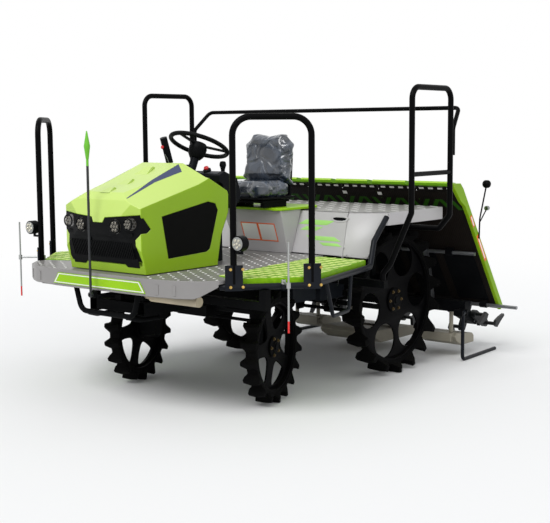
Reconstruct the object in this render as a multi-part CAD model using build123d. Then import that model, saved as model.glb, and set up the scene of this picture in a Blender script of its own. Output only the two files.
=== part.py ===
from build123d import *
import math
import os

# Six-row riding rice transplanter, in millimetres. +X forward, +Y the machine's left, +Z up.
# X below is measured from the rear axle and Z from the ground. On export every piece is shifted
# along X, so that the origin lies on the ground under the middle of the machine.

# ---- Fits ----
RUNNING = 0.05          # radial clearance of a shaft in its bearing
GAP = 0.3               # between pieces that are seated on each other and never move
PASSING = 8.0           # between pieces that pass each other
OPEN_EYE = 8.0          # radial clearance of the lift ram's eye, the one pivot left open there
OPEN_TIE = 1.0          # radial clearance of the tie rod's right-hand eye, left open as well

# ---- Wheels: a rubber band with paddle lugs on a steel rim with flat spokes ----
WHEELBASE = 1145.0
FRONT_TRACK = 1054.0
REAR_TRACK = 1215.0
FRONT_WHEEL = dict(radius=325.0, lug_height=42.0, lug_width=104.0, lug_length=34.0, lugs=18,
                   band_width=70.0, band=26.0, rim=12.0, rim_width=58.0, hub=62.0, hub_width=54.0,
                   bore=20.0, spokes=5, spoke_width=58.0, spoke=10.0)
REAR_WHEEL = dict(radius=468.0, lug_height=52.0, lug_width=150.0, lug_length=30.0, lugs=18,
                  band_width=56.0, band=30.0, rim=12.0, rim_width=44.0, hub=78.0, hub_width=60.0,
                  bore=24.0, spokes=6, spoke_width=74.0, spoke=10.0)
FRONT_AXLE_Z = FRONT_WHEEL["radius"]
REAR_AXLE_Z = REAR_WHEEL["radius"]
FRONT_HUB_IN = (FRONT_TRACK - FRONT_WHEEL["hub_width"]) / 2
REAR_HUB_IN = (REAR_TRACK - REAR_WHEEL["hub_width"]) / 2

# ---- Chassis ----
RAIL_Y = 190.0
RAIL_WIDTH = 60.0
RAIL_WALL = 5.0
RAIL_BOTTOM = 560.0
RAIL_TOP = 640.0
RAIL_REAR = -130.0
RAIL_FRONT = 1830.0
CROSS_LENGTH = 70.0
CROSS_X = (RAIL_REAR + CROSS_LENGTH / 2, 760.0, 1330.0, RAIL_FRONT - CROSS_LENGTH / 2)
CROSS_Z = (RAIL_BOTTOM + 10.0, RAIL_TOP - 10.0)
OUTRIGGER = 44.0        # square tube under the floor
OUTRIGGER_Z = (RAIL_TOP - 10.0, RAIL_TOP - 10.0 + OUTRIGGER)
POST = 40.0             # square uprights under the rear body
POST_Y = 500.0
POST_X = (90.0, 400.0)
TOW_HOLE = 11.0
TOW_HOLE_X = 1946.0
ENGINE = ((1400.0, 1780.0), 150.0, 1000.0)      # X limits, half width, top

# ---- Floor, steps and the tubes round them ----
FLOOR_TOP = 795.0
FLOOR_THICK = 22.0
SKIRT_BOTTOM = 700.0
SKIRT_WALL = 9.0
SKIRT_RISE_X = (1890.0, 1770.0)     # between these the skirt's lower edge rises to the floor
# (x, y) of the left half of the moulded floor's edge, from the nose to the rear body
FLOOR_EDGE = ((1960.0, 370.0), (1932.0, 560.0), (1875.0, 670.0), (1795.0, 735.0), (1705.0, 735.0),
              (1655.0, 604.0), (560.0, 469.0))
STEP_THICK = 34.0
STEP_REAR = 60.0        # from the rear body to the step's rear edge
TUBE = 17.0             # radius of the hoop, frame and step tubes
STEP_RAIL_Z = FLOOR_TOP - FLOOR_THICK - GAP - TUBE
STEP_RAIL_BEND = 28.0
STEP_RAIL_END = (600.0, 842.0)
GRAB_TUBE = ((520.0, 815.0, 900.0), (395.0, 820.0, 1035.0))
STIRRUP = 11.0          # radius of the hanging step's tube
STIRRUP_X = (1231.0, 1140.0, 919.0, 890.0)
STIRRUP_Z = 548.0

# ---- Side hoops ----
HOOP_FRONT = (1722.0, 771.0)
HOOP_REAR = (1412.0, 1039.0)
HOOP_TOP = 1627.0
HOOP_BEND = 95.0
BRACKET_Z = (738.0, 871.0)
BRACKET_WIDTH = 92.0
BRACKET = 10.0

# ---- Tall rear frames and the rail between them ----
FRAME_FRONT = (540.0, 1087.0)
FRAME_REAR = (90.0, 1071.0)
FRAME_TOP = 1797.0
FRAME_BEND = 70.0
FRAME_BAR_Z = 1300.0
FRAME_KNEE_Z = 1080.0
FRAME_FOOT_Y = 893.0
FRAME_ARM_Z = 955.0     # where a rear post turns inwards above the wheel
REAR_RAIL = (-66.0, 1036.0, 1685.0)
REAR_RAIL_FOOT_Z = 1400.0
REAR_RAIL_KNEE_Z = 1560.0
REAR_RAIL_TUBE = 13.0

# ---- Rear body under and behind the seat ----
BODY_FOOT_X = 548.0
BODY_TOP_X = 485.0
BODY_TOP = 1058.0
BODY_SKIRT = 80.0
BODY_REAR_X = -290.0
BODY_HALF = 795.0
BODY_FLAT_HALF = 600.0  # where the front face starts to fold back
BODY_CORNER_X = 330.0
BODY_WALL = 8.0
SEAT_BOX_FOOT = (548.6, 590.0, 215.0)           # rear X, front X, half width
SEAT_BOX_TOP = (486.0, 690.0, 240.0)

# ---- Seat ----
SEAT_PLATE_Z = (1066.0, 1082.0)
SEAT_PLATE_X = (300.0, 712.0)
SEAT_PLATE_HALF = 255.0
SEAT_BASE_TOP = 1148.0
CUSHION_X = (500.0, 838.0)
CUSHION_HALF = 215.0
CUSHION_Z = (SEAT_BASE_TOP + 0.3, 1236.0)
BACK_FOOT = (485.0, 560.0)
BACK_HEAD = (453.0, 528.0)
BACK_Z = (1190.0, 1550.0)
BACK_HALF = 200.0

# ---- Hood ----
HOOD_WALL = 5.0
HOOD_BASE = FLOOR_TOP + 4.0
HOOD_HALF = 300.0
HOOD_SHOULDER = 139.0   # half width of the flat top
HINGE = (1256.0, 1200.0)
HINGE_PIN = 9.0
HINGE_LUG = 14.0
HINGE_EAR = 12.0
HINGE_Y = (262.0, 288.0)
# (x, z) side outline: base, nose, brow, roof, step behind the roof, rear edge
HOOD_SIDE = ((1888.0, HOOD_BASE), (1896.0, 846.0), (1958.0, 1055.0), (1944.0, 1128.0),
             (1928.0, 1195.0), (1892.0, 1232.0), (1731.0, 1278.0), (1475.0, 1378.0),
             (1448.0, 1376.0), (1402.0, 1300.0), (1372.0, 1285.0), (1240.0, 1218.0),
             (1231.0, 1200.0), (1233.0, 1095.0), (1295.0, 968.0), (1323.0, 830.0),
             (1326.0, HOOD_BASE))
NOSE_SWEEP = 45.0       # how far the nose falls back from the middle to its corners
# (x, z at the flat roof's edge, z where the shoulder meets the side wall)
SHOULDERS = ((1990.0, 1200.0, 1135.0), (1475.0, 1381.0, 1262.0), (1180.0, 1500.0, 1370.0))
MASK_SIDE = ((294.0, 1118.0), (318.0, 1040.0), (262.0, 985.0), (286.0, 872.0), (276.0, 848.0),
             (150.0, 850.0), (128.0, 866.0))
MASK_NOTCH = ((52.0, 1098.0), (38.0, 1070.0))
# (x, z) limit of the mask as seen from the side
MASK_FRONT = ((2010.0, 1140.0), (1920.0, 1126.0), (1847.0, 1040.0), (1940.0, 978.0), (1881.0, 857.0),
              (1890.0, 842.0), (2010.0, 842.0))
SCREEN = ((1763.0, 1101.0), (1400.0, 1163.0), (1342.0, 1150.0), (1322.0, 1112.0), (1391.0, 900.0),
          (1420.0, 884.0), (1718.0, 872.0))
LAMPS = ((136.0, 1054.0, 40.0), (238.0, 1070.0, 34.0))      # Y, Z, radius
LAMP_X = (1880.0, 1960.0)

# ---- Console, column and steering wheel ----
# (x, z) side outlines of the wide dash and of the narrow stem under it
DASH_SIDE = ((1222.0, 1120.0), (1220.0, 1190.0), (1236.0, 1250.0), (1262.0, 1264.0), (1262.0, 1304.0),
             (1215.0, 1326.0), (1110.0, 1285.0), (1078.0, 1200.0), (1090.0, 1150.0), (1140.0, 1108.0))
STEM_SIDE = ((1312.0, FLOOR_TOP + GAP), (1284.0, 962.0), (1222.0, 1092.0), (1222.0, 1200.0),
             (1130.0, 1200.0), (1120.0, 1080.0), (1118.0, FLOOR_TOP + GAP))
DASH_HALF = HINGE_Y[0]
STEM_HALF = 150.0
WHEEL_CENTRE = (1151.0, 0.0, 1473.0)
COLUMN_TILT = 25.0
STEERING_RADIUS = 172.0
STEERING_RIM = 13.0
COLUMN = 24.0
SPINDLE = 12.0
COLUMN_LENGTH = 168.0   # from the wheel's centre down to the console

# ---- Front axle ----
KINGPIN_Y = 427.0
STEER_REST = 15.0       # the machine is parked with its front wheels turned this far to the left
KINGPIN = 18.0
KINGPIN_Z = (440.0, 560.0)
ARM = 135.0
ARM_Z = (452.0, 466.0)
TIE_Z = 435.0
TIE_ROD = 10.0
TIE_EYE = (19.0, 12.0)    # radius and half height
TIE_PIN = 8.0
KNUCKLE_HALF = 42.0

# ---- Lift linkage: two parallel pairs of links and one ram ----
LINK_VECTOR = (-480.0, -95.0)
LOWER_PIVOT = (-140.0, 386.0)
UPPER_PIVOT = (-165.0, 600.0)
LOWER_LINK_Y = 270.0
UPPER_LINK_Y = 60.0
LINK = 14.0             # plate thickness
LOWER_DEPTH = 36.0
UPPER_DEPTH = 46.0
LINK_PIN = 13.0
LINK_TIE = 70.0         # from the lower link's rear pin to its cross tube
RAM_FOOT = (-110.0, 340.0)
RAM_EYE = (-330.0, 565.0)
RAM_BARREL = 28.0
RAM_ROD = 14.0
RAM_PIN = 12.0
RAM_REACH = (34.0, 226.0)       # where the barrel starts and ends, from its pivot

# ---- Planting unit ----
BEAM = (-620.0, 362.0)
BEAM_SIZE = 76.0
BEAM_HALF = 800.0
MARKER_HOLE = 10.5
MARKER_HOLE_Y = 740.0
ROWS = 6
ROW_PITCH = 300.0
CASE_Y = (-2 * ROW_PITCH, 0.0, 2 * ROW_PITCH)
CASE_HALF = 36.0
ROTOR_AXIS = (-1030.0, 215.0)
ROTOR_REACH = 183.1     # from the rotor's axis back to a claw's tip as parked
ROTOR_SHAFT = 16.0
ROTOR_GAP = 6.0
ROTOR_ARM = 82.0        # from the rotor's axis to each claw's own pin
ROTOR_THICK = 34.0
CLAW_WIDTH = 22.0

# ---- Seedling table ----
TABLE_FOOT = (-857.0, 357.0)
TABLE_HEAD = (-310.0, 1175.0)
TABLE_PLATE = 10.0
TABLE_FLANGE = 28.0
TABLE_HALF = 937.0
TABLE_SIDE = 26.0
DIVIDER = 8.0           # thickness of the walls between the lanes
CAP_SIDE = ((-274.0, 1214.0), (-180.0, 1227.0), (-166.0, 1216.0), (-170.0, 1200.0), (-260.0, 1186.0))
GUIDE = 12.0            # radius of the two round bars that the table slides along
LOW_GUIDE = (-782.0, 360.0)
HIGH_GUIDE = (-530.0, 735.0)
LOW_GUIDE_HALF = 1080.0
HIGH_GUIDE_HALF = 900.0
SHOE = 50.0
SHOE_RADIUS = 21.0
LOW_SHOE_Y = (-830.0, -300.0, 300.0, 830.0)
HIGH_SHOE_Y = (-706.0, -300.0, 300.0, 706.0)
UPRIGHT_Y = 520.0

# ---- Floats and parking stands ----
FLOAT_Z = (80.0, 172.0)
FLOAT_REAR = -845.0
STRUT = 24.0            # square struts from the beam down to the floats
# half width, centre in Y, nose in X
FLOATS = ((150.0, 572.0, -590.0), (235.0, 0.0, -330.0), (150.0, -572.0, -590.0))
STAND_X = -545.0
STAND_Y = 806.0
STAND_TUBE = 12.0
STAND_PIVOT_Z = 330.0
STAND_FOOT = (-1035.0, 782.0)
STAND_PIN = 8.0

# ---- Front pole and side rods ----
POLE_X = 2014.0
POLE_PIVOT_Z = 684.0
POLE_TIP_Z = 1412.0
POLE_TOP = 1560.0
POLE_TIP = 17.0
POLE_ROD = 7.0
POLE_PIN = 6.0
SIDE_ROD = 5.0
SIDE_ROD_Z = (540.0, 1001.0)
SIDE_ARM = 178.0        # from the middle of the slanting step tube out to the rod
SIDE_PIVOT = 34.0       # from that tube to the arm's pivot
SIDE_ARM_Z = 782.0

X_MIDDLE = (POLE_X + POLE_TIP + ROTOR_AXIS[0] - ROTOR_REACH) / 2


# ---- Shapes used all over ----
def block(x, y, z):
    """A box between two limits in X, Y and Z."""
    centre = Pos((x[0] + x[1]) / 2, (y[0] + y[1]) / 2, (z[0] + z[1]) / 2)
    return centre * Box(abs(x[1] - x[0]), abs(y[1] - y[0]), abs(z[1] - z[0]))


def around(x, y, half):
    """The limits of a square of a given half width, as two pairs."""
    return (x - half, x + half), (y - half, y + half)


def rod(start, end, radius):
    """A round bar from one point to another."""
    run = Vector(*end) - Vector(*start)
    return extrude(Plane(origin=start, z_dir=run) * Circle(radius), run.length)


def across(centre, y, radius):
    """A round bar across the machine at an (x, z) centre, between two limits in Y."""
    return rod((centre[0], min(y), centre[1]), (centre[0], max(y), centre[1]), radius)


def pipe(points, radius, bend):
    """A bent tube, drawn solid, of straight runs joined by arcs."""
    path = FilletPolyline(*points, radius=bend)
    return sweep(Plane(origin=path @ 0, z_dir=path % 0) * Circle(radius), path=path)


def side_prism(outline, y):
    """An (x, z) outline extruded between two limits in Y."""
    plane = Plane(origin=(0, max(y), 0), x_dir=(1, 0, 0), z_dir=(0, -1, 0))
    return extrude(plane * make_face(Polyline(*outline, close=True)), max(y) - min(y))


def front_prism(outline, x):
    """A (y, z) outline extruded between two limits in X."""
    plane = Plane(origin=(min(x), 0, 0), x_dir=(0, 1, 0), z_dir=(1, 0, 0))
    return extrude(plane * make_face(Polyline(*outline, close=True)), max(x) - min(x))


def knob(centre, radius):
    """A round grip, nearly a ball, lying across the machine."""
    form = Cylinder(radius, 2 * radius)
    return Pos(*centre) * Rot(90, 0, 0) * fillet(form.edges().filter_by(GeomType.CIRCLE), radius * 0.75)


def plan_prism(outline, z):
    """An (x, y) outline extruded between two limits in Z."""
    face = make_face(Polyline(*outline, close=True))
    return extrude(Plane.XY.offset(min(z)) * face, max(z) - min(z))


def mirrored(points):
    """A left-half (x, y) outline followed by its right half."""
    return [*points, *[(x, -y) for x, y in reversed(points)]]


def other_side(shape):
    return mirror(shape, about=Plane.XZ)


def both(shape):
    return shape + other_side(shape)


def joined(pieces):
    """One shape from a list of overlapping pieces."""
    whole = pieces[0]
    return whole + pieces[1:] if len(pieces) > 1 else whole


def write(node, *pieces):
    """Shifts a node's pieces to the machine's origin and saves them."""
    solids = [Pos(-X_MIDDLE, 0, 0) * solid for piece in pieces for solid in piece.solids()]
    export_step(solids[0] if len(solids) == 1 else Compound(solids), f"parts/{node}.step")


# ---- Wheels ----
def tyre(spec):
    outer = spec["radius"]
    band_outer = outer - spec["lug_height"]
    band_inner = band_outer - spec["band"]
    ring = Cylinder(band_outer, spec["band_width"]) - Cylinder(band_inner, spec["band_width"])
    tip = math.sqrt(outer ** 2 - (spec["lug_length"] / 2) ** 2)
    root = band_outer - spec["band"] / 2
    lug = Pos((tip + root) / 2, 0, 0) * Box(tip - root, spec["lug_length"], spec["lug_width"])
    lugs = [Rot(0, 0, 360.0 * i / spec["lugs"]) * lug for i in range(spec["lugs"])]
    # One lug points straight down, so the wheel stands on its full radius.
    return Rot(90, 0, 0) * Rot(0, 0, 90) * (ring + lugs)


def rim(spec):
    outer = spec["radius"] - spec["lug_height"] - spec["band"] - GAP
    inner = outer - spec["rim"]
    ring = Cylinder(outer, spec["rim_width"]) - Cylinder(inner, spec["rim_width"])
    length = inner + spec["rim"] / 2
    spoke = Pos(length / 2, 0, 0) * Box(length, spec["spoke_width"], spec["spoke"])
    spokes = [Rot(0, 0, 360.0 * (i + 0.5) / spec["spokes"]) * spoke for i in range(spec["spokes"])]
    hub = Cylinder(spec["hub"], spec["hub_width"])
    bore = Cylinder(spec["bore"] + RUNNING, 2 * spec["hub_width"])
    return Rot(90, 0, 0) * ((ring + hub + spokes) - bore)


# ---- Chassis ----
def chassis_frame():
    """Ladder of rails and cross members, with the outriggers and uprights saddled on top of it."""
    half = RAIL_WIDTH / 2
    rail_y = (RAIL_Y - half, RAIL_Y + half)
    ladder = [both(block((RAIL_REAR, RAIL_FRONT), rail_y, (RAIL_BOTTOM, RAIL_TOP)))]
    for x in (CROSS_X[0], CROSS_X[-1]):
        ladder.append(block((x - CROSS_LENGTH / 2, x + CROSS_LENGTH / 2), (-RAIL_Y, RAIL_Y), CROSS_Z))
    ladder.append(block((1786.0, POLE_X - 28.0), (-26.0, 26.0), (664.0, 678.0)))
    ladder.append(block((1790.0, 1820.0), (-26.0, 26.0), (CROSS_Z[1] - 5.0, 670.0)))
    ladder.append(block((POLE_X - 28.0, POLE_X - 14.0), (-20.0, 20.0), (664.0, 704.0)))
    ladder.append(rod((POLE_X - 20.0, 0, POLE_PIVOT_Z), (POLE_X + 10.0, 0, POLE_PIVOT_Z), POLE_PIN))
    frame = joined(ladder) - rod((TOW_HOLE_X, 0, 650.0), (TOW_HOLE_X, 0, 690.0), TOW_HOLE)
    hollow = block((RAIL_REAR - 1, RAIL_FRONT + 1), (rail_y[0] + RAIL_WALL, rail_y[1] - RAIL_WALL),
                   (RAIL_BOTTOM + RAIL_WALL, RAIL_TOP - RAIL_WALL))
    pieces = [(frame - both(hollow)) + linkage_brackets()]
    inner = rail_y[0] - GAP
    for x in CROSS_X[1:-1]:
        pieces.append(block((x - CROSS_LENGTH / 2, x + CROSS_LENGTH / 2), (-inner, inner), CROSS_Z))
    for x in (720.0, 1320.0, 1805.0):
        pieces.append(both(block(*around(x, RAIL_Y, 18.0), (RAIL_TOP + GAP, FLOOR_TOP - FLOOR_THICK - GAP))))
    step_x = 1600.0
    pieces.append(portal(FRAME_FRONT[0], FRAME_FOOT_Y, OUTRIGGER, OUTRIGGER_Z[1]))
    pieces.append(portal(step_x, hoop_line(step_x), OUTRIGGER, STEP_RAIL_Z - TUBE - GAP))
    for x in POST_X:
        pieces.append(portal(x, POST_Y, POST, BODY_TOP - BODY_WALL - GAP))
    return pieces


def portal(x, y, size, top):
    """A square tube across both rails and notched over them, with an upright at each end."""
    reach = size / 2
    half = RAIL_WIDTH / 2 + GAP
    tube = block((x - reach, x + reach), (-y - reach, y + reach), OUTRIGGER_Z)
    tube += both(block(*around(x, y, reach), (OUTRIGGER_Z[0], top)))
    notch = block((x - size, x + size), (RAIL_Y - half, RAIL_Y + half), (RAIL_BOTTOM, RAIL_TOP + GAP))
    return tube - both(notch)


def linkage_brackets():
    """Cheeks behind the rear cross member with the fixed pins of both links and of the ram."""
    low_x, low_z = LOWER_PIVOT
    high_x, high_z = UPPER_PIVOT
    inner = LOWER_LINK_Y - LINK / 2 - PASSING
    outline = [(low_x - 26, low_z - 26), (low_x - 10, RAM_FOOT[1] - 26), (-84.0, RAM_FOOT[1] - 26),
               (-66.0, low_z), (-66.0, CROSS_Z[1]), (-124.0, CROSS_Z[1]), (low_x - 26, low_z + 30)]
    cheek = side_prism(outline, (inner - LINK, inner))
    carrier = block((-124.0, -66.0), (RAIL_Y, inner), CROSS_Z)
    low_pin = across(LOWER_PIVOT, (inner - 2, LOWER_LINK_Y + LINK / 2 + 4), LINK_PIN)
    inner = UPPER_LINK_Y - LINK / 2 - PASSING
    ear = block((high_x - 24, -120.0), (inner - 10, inner), (high_z - 24, CROSS_Z[1]))
    high_pin = across(UPPER_PIVOT, (inner - 2, UPPER_LINK_Y + LINK / 2 + 4), LINK_PIN)
    shaft = across(RAM_FOOT, (-LOWER_LINK_Y + LINK + PASSING, LOWER_LINK_Y - LINK - PASSING), RAM_PIN)
    return both(cheek + carrier + low_pin) + both(ear + high_pin) + shaft


def hoop_line(x):
    """The step tube's Y at a given X along its slanting front run."""
    slope = (HOOP_REAR[1] - HOOP_FRONT[1]) / (HOOP_REAR[0] - HOOP_FRONT[0])
    return HOOP_FRONT[1] + (x - HOOP_FRONT[0]) * slope


def rear_line(x):
    """The step tube's Y at a given X along its rear run."""
    slope = (STEP_RAIL_END[1] - HOOP_REAR[1]) / (STEP_RAIL_END[0] - HOOP_REAR[0])
    return HOOP_REAR[1] + (x - HOOP_REAR[0]) * slope


def rear_axle_case():
    """The cross housing under the rails, a drop case on each side and the wheel's stub axle."""
    tube_z = RAIL_BOTTOM - 46.0
    housing = across((0.0, tube_z), (-REAR_HUB_IN + PASSING + 20, REAR_HUB_IN - PASSING - 20), 42.0)
    gearbox = block((-46.0, 120.0), (-130.0, 130.0), (430.0, RAIL_BOTTOM - 12))
    saddle = both(block((-40.0, 40.0), (RAIL_Y - 30, RAIL_Y + 30), (tube_z, RAIL_BOTTOM - GAP)))
    drop = (REAR_HUB_IN - PASSING - 44, REAR_HUB_IN - PASSING)
    case = across((0.0, tube_z), drop, 62.0) + across((0.0, REAR_AXLE_Z), drop, 58.0)
    axle = across((0.0, REAR_AXLE_Z), (drop[1] - 5, REAR_TRACK / 2 + REAR_WHEEL["hub_width"] / 2 + 6),
                  REAR_WHEEL["bore"])
    return housing + gearbox + saddle + both(case + axle)


def front_axle_case():
    """The gearbox between the rails, the axle tubes and the two kingpin bearings."""
    z = (KINGPIN_Z[0] + 60 + RAIL_BOTTOM) / 2
    gearbox = block((WHEELBASE - 110, WHEELBASE + 90), (-120.0, 120.0), (470.0, RAIL_TOP - 15))
    saddle = both(block((WHEELBASE - 45, WHEELBASE + 45), (RAIL_Y - 30, RAIL_Y + 30), (z, RAIL_BOTTOM - GAP)))
    tube = across((WHEELBASE, z), (-KINGPIN_Y, KINGPIN_Y), 30.0)
    boss = rod((WHEELBASE, KINGPIN_Y, KINGPIN_Z[0] + 45), (WHEELBASE, KINGPIN_Y, KINGPIN_Z[1] + 20), 40.0)
    bore = rod((WHEELBASE, KINGPIN_Y, KINGPIN_Z[0]), (WHEELBASE, KINGPIN_Y, KINGPIN_Z[1] + 2),
               KINGPIN + RUNNING)
    return (gearbox + saddle + tube + both(boss)) - both(bore)


def knuckle():
    """The left drop case: kingpin, gear housing, steering arm with its pin, and stub axle."""
    post = rod((WHEELBASE, KINGPIN_Y, KINGPIN_Z[0] - 5), (WHEELBASE, KINGPIN_Y, KINGPIN_Z[1]), KINGPIN)
    y = (KINGPIN_Y - KNUCKLE_HALF, FRONT_HUB_IN - PASSING)
    case = block((WHEELBASE - 44, WHEELBASE + 44), y, (FRONT_AXLE_Z, KINGPIN_Z[0] + 40))
    case += across((WHEELBASE, FRONT_AXLE_Z), y, 44.0)
    axle = across((WHEELBASE, FRONT_AXLE_Z), (y[1] - 5, FRONT_TRACK / 2 + FRONT_WHEEL["hub_width"] / 2 + 6),
                  FRONT_WHEEL["bore"])
    arm = block((WHEELBASE - ARM, WHEELBASE - 20), (KINGPIN_Y - 14, KINGPIN_Y + 14), ARM_Z)
    x = WHEELBASE - ARM
    end = rod((x, KINGPIN_Y, ARM_Z[0]), (x, KINGPIN_Y, ARM_Z[1]), 18.0)
    pin = rod((x, KINGPIN_Y, TIE_Z - TIE_EYE[1] - 3), (x, KINGPIN_Y, ARM_Z[0] + 2), TIE_PIN)
    return post + case + axle + arm + end + pin


def steered(piece, side):
    """A piece of the left (1) or right (-1) front corner, turned about its kingpin as parked."""
    pivot = Pos(WHEELBASE, side * KINGPIN_Y, 0)
    return pivot * Rot(0, 0, STEER_REST) * pivot.inverse() * piece


def tie_rod():
    """The bar behind the front axle, with a bored eye at each end, as parked."""
    turn = math.radians(STEER_REST)
    x, shift = WHEELBASE - ARM * math.cos(turn), -ARM * math.sin(turn)
    left, right = KINGPIN_Y + shift, -KINGPIN_Y + shift
    bar = across((x, TIE_Z), (right, left), TIE_ROD)
    for y, fit in ((left, RUNNING), (right, OPEN_TIE)):
        bar += rod((x, y, TIE_Z - TIE_EYE[1]), (x, y, TIE_Z + TIE_EYE[1]), TIE_EYE[0])
        bar -= rod((x, y, TIE_Z - 30), (x, y, TIE_Z + 30), TIE_PIN + fit)
    return bar


# ---- Floor and steps ----
def floor():
    """The moulded floor with its front skirt and the opening round the engine."""
    top = plan_prism(mirrored(FLOOR_EDGE), (FLOOR_TOP - FLOOR_THICK, FLOOR_TOP))
    skirt = mirrored(FLOOR_EDGE[:4])
    skirt_solid = plan_prism(skirt, (SKIRT_BOTTOM, FLOOR_TOP - FLOOR_THICK / 2))
    front, back = SKIRT_RISE_X
    low, high = SKIRT_BOTTOM - 1, FLOOR_TOP - FLOOR_THICK + 2
    skirt_solid -= side_prism([(front, low), (back, high), (back - 100, high), (back - 100, low)],
                              (-BODY_HALF, BODY_HALF))
    inner = [(x - SKIRT_WALL, y - SKIRT_WALL * 0.6) for x, y in FLOOR_EDGE[:4]]
    inner[-1] = (FLOOR_EDGE[3][0] - 40, inner[-1][1])
    hollow = plan_prism(mirrored(inner), (SKIRT_BOTTOM - 1, FLOOR_TOP - FLOOR_THICK))
    x, half, _ = ENGINE
    opening = block((x[0] - 12, x[1] + 12), (-half - 12, half + 12), (SKIRT_BOTTOM, FLOOR_TOP + 1))
    return top + (skirt_solid - hollow) - opening


def step():
    """The left-hand grating between the floor and its tube."""
    rear = BODY_FOOT_X + STEP_REAR
    corners = [HOOP_FRONT, HOOP_REAR, (rear, rear_line(rear)), (rear, 300.0), (HOOP_FRONT[0], 300.0)]
    outline = make_face(FilletPolyline(*corners, radius=STEP_RAIL_BEND, close=True))
    outline = offset(outline, amount=-TUBE - GAP, kind=Kind.INTERSECTION)
    floor_face = make_face(Polyline(*mirrored(FLOOR_EDGE), close=True))
    outline -= offset(floor_face, amount=GAP, kind=Kind.INTERSECTION)
    return extrude(Plane.XY.offset(FLOOR_TOP + 2 - STEP_THICK) * outline, STEP_THICK)


def step_rail():
    """The left tube round the step, its grab tube, the hanging step and the hoop's brackets."""
    z = STEP_RAIL_Z
    path = [(HOOP_FRONT[0] + 40, HOOP_FRONT[1] - 60, z), (*HOOP_FRONT, z), (*HOOP_REAR, z),
            (*STEP_RAIL_END, z), *GRAB_TUBE]
    tube = pipe(path, TUBE, STEP_RAIL_BEND)
    loop = [(px, rear_line(px), pz) for px, pz in zip(STIRRUP_X, (z - 4, STIRRUP_Z, STIRRUP_Z, z - 4))]
    tube += pipe(loop, STIRRUP, 30.0)
    angle = math.degrees(math.atan2(HOOP_REAR[1] - HOOP_FRONT[1], HOOP_REAR[0] - HOOP_FRONT[0]))
    for x, y in (HOOP_FRONT, HOOP_REAR):
        height = BRACKET_Z[1] - BRACKET_Z[0]
        plate = Pos(0, BRACKET / 2 - TUBE + 1, 0) * Box(BRACKET_WIDTH, BRACKET, height)
        spot = Pos(x, y, sum(BRACKET_Z) / 2) * Rot(0, 0, angle)
        tube += spot * plate
        tube -= rod((x, y, z + TUBE + GAP), (x, y, BRACKET_Z[1] + 10), TUBE + GAP)
    return tube + side_rod_bracket()


def side_rod_frame():
    """Middle of the slanting step tube, and the unit vector pointing out from it."""
    x = (HOOP_FRONT[0] + HOOP_REAR[0]) / 2 - 37.0
    y = hoop_line(x)
    run = math.hypot(HOOP_FRONT[0] - HOOP_REAR[0], HOOP_FRONT[1] - HOOP_REAR[1])
    out = ((HOOP_REAR[1] - HOOP_FRONT[1]) / run, (HOOP_FRONT[0] - HOOP_REAR[0]) / run)
    return x, y, out


def side_rod_bracket():
    """The lug on the step tube with the upright pin of the side rod's arm."""
    x, y, out = side_rod_frame()
    px, py = x + SIDE_PIVOT * out[0], y + SIDE_PIVOT * out[1]
    lug = rod((x, y, STEP_RAIL_Z), (px, py, STEP_RAIL_Z), 9.0)
    lug += rod((px, py, STEP_RAIL_Z - 12), (px, py, SIDE_ARM_Z - 12), 10.0)
    return lug + rod((px, py, STEP_RAIL_Z), (px, py, SIDE_ARM_Z + 12), 5.0)


def side_rod():
    """The left sighting rod on its swinging arm."""
    x, y, out = side_rod_frame()
    px, py = x + SIDE_PIVOT * out[0], y + SIDE_PIVOT * out[1]
    tip = (x + SIDE_ARM * out[0], y + SIDE_ARM * out[1])
    arm = rod((px, py, SIDE_ARM_Z), (*tip, SIDE_ARM_Z), 6.0)
    eye = rod((px, py, SIDE_ARM_Z - 11), (px, py, SIDE_ARM_Z + 11), 12.0)
    bar = rod((*tip, SIDE_ROD_Z[0]), (*tip, SIDE_ROD_Z[1]), SIDE_ROD)
    clamp = rod((*tip, SIDE_ARM_Z - 14), (*tip, SIDE_ARM_Z + 14), 11.0)
    pin = rod((px, py, SIDE_ARM_Z - 30), (px, py, SIDE_ARM_Z + 30), 5.0 + RUNNING)
    return (arm + eye + bar + clamp) - pin


def hoop():
    foot = STEP_RAIL_Z + TUBE + GAP
    return pipe([(*HOOP_FRONT, foot), (*HOOP_FRONT, HOOP_TOP), (*HOOP_REAR, HOOP_TOP), (*HOOP_REAR, foot)],
                TUBE, HOOP_BEND)


def tall_frame():
    """The left tall frame, its cross bar and the bent feet that carry it."""
    x = FRAME_FRONT[0]
    front = [(x, FRAME_FOOT_Y, OUTRIGGER_Z[1] + GAP), (x, FRAME_FOOT_Y, 715.0), (x, 945.0, 775.0),
             (*FRAME_FRONT, FRAME_KNEE_Z), (*FRAME_FRONT, 1200.0)]
    main = [(*FRAME_FRONT, 1190.0), (*FRAME_FRONT, FRAME_TOP), (*FRAME_REAR, FRAME_TOP),
            (*FRAME_REAR, 1190.0)]
    back = [(*FRAME_REAR, 1200.0), (*FRAME_REAR, 1040.0), (FRAME_REAR[0], 1000.0, FRAME_ARM_Z),
            (FRAME_REAR[0], POST_Y + POST / 2 + GAP, FRAME_ARM_Z)]
    bar = rod((*FRAME_FRONT, FRAME_BAR_Z), (*FRAME_REAR, FRAME_BAR_Z), TUBE - 3)
    return pipe(main, TUBE, FRAME_BEND) + pipe(front, TUBE, 22.0) + pipe(back, TUBE, 30.0) + bar


def rear_rail():
    """The cross rail behind the seat, which bends down to the two rear posts."""
    x = FRAME_REAR[0] - TUBE - REAR_RAIL_TUBE - GAP
    y = FRAME_REAR[1]
    end_x, end_y, end_z = REAR_RAIL
    left = [(x, y, REAR_RAIL_FOOT_Z), (x, y, REAR_RAIL_KNEE_Z), (end_x, end_y, end_z)]
    right = [(px, -py, pz) for px, py, pz in reversed(left)]
    return pipe([*left, *right], REAR_RAIL_TUBE, 38.0)


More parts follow.
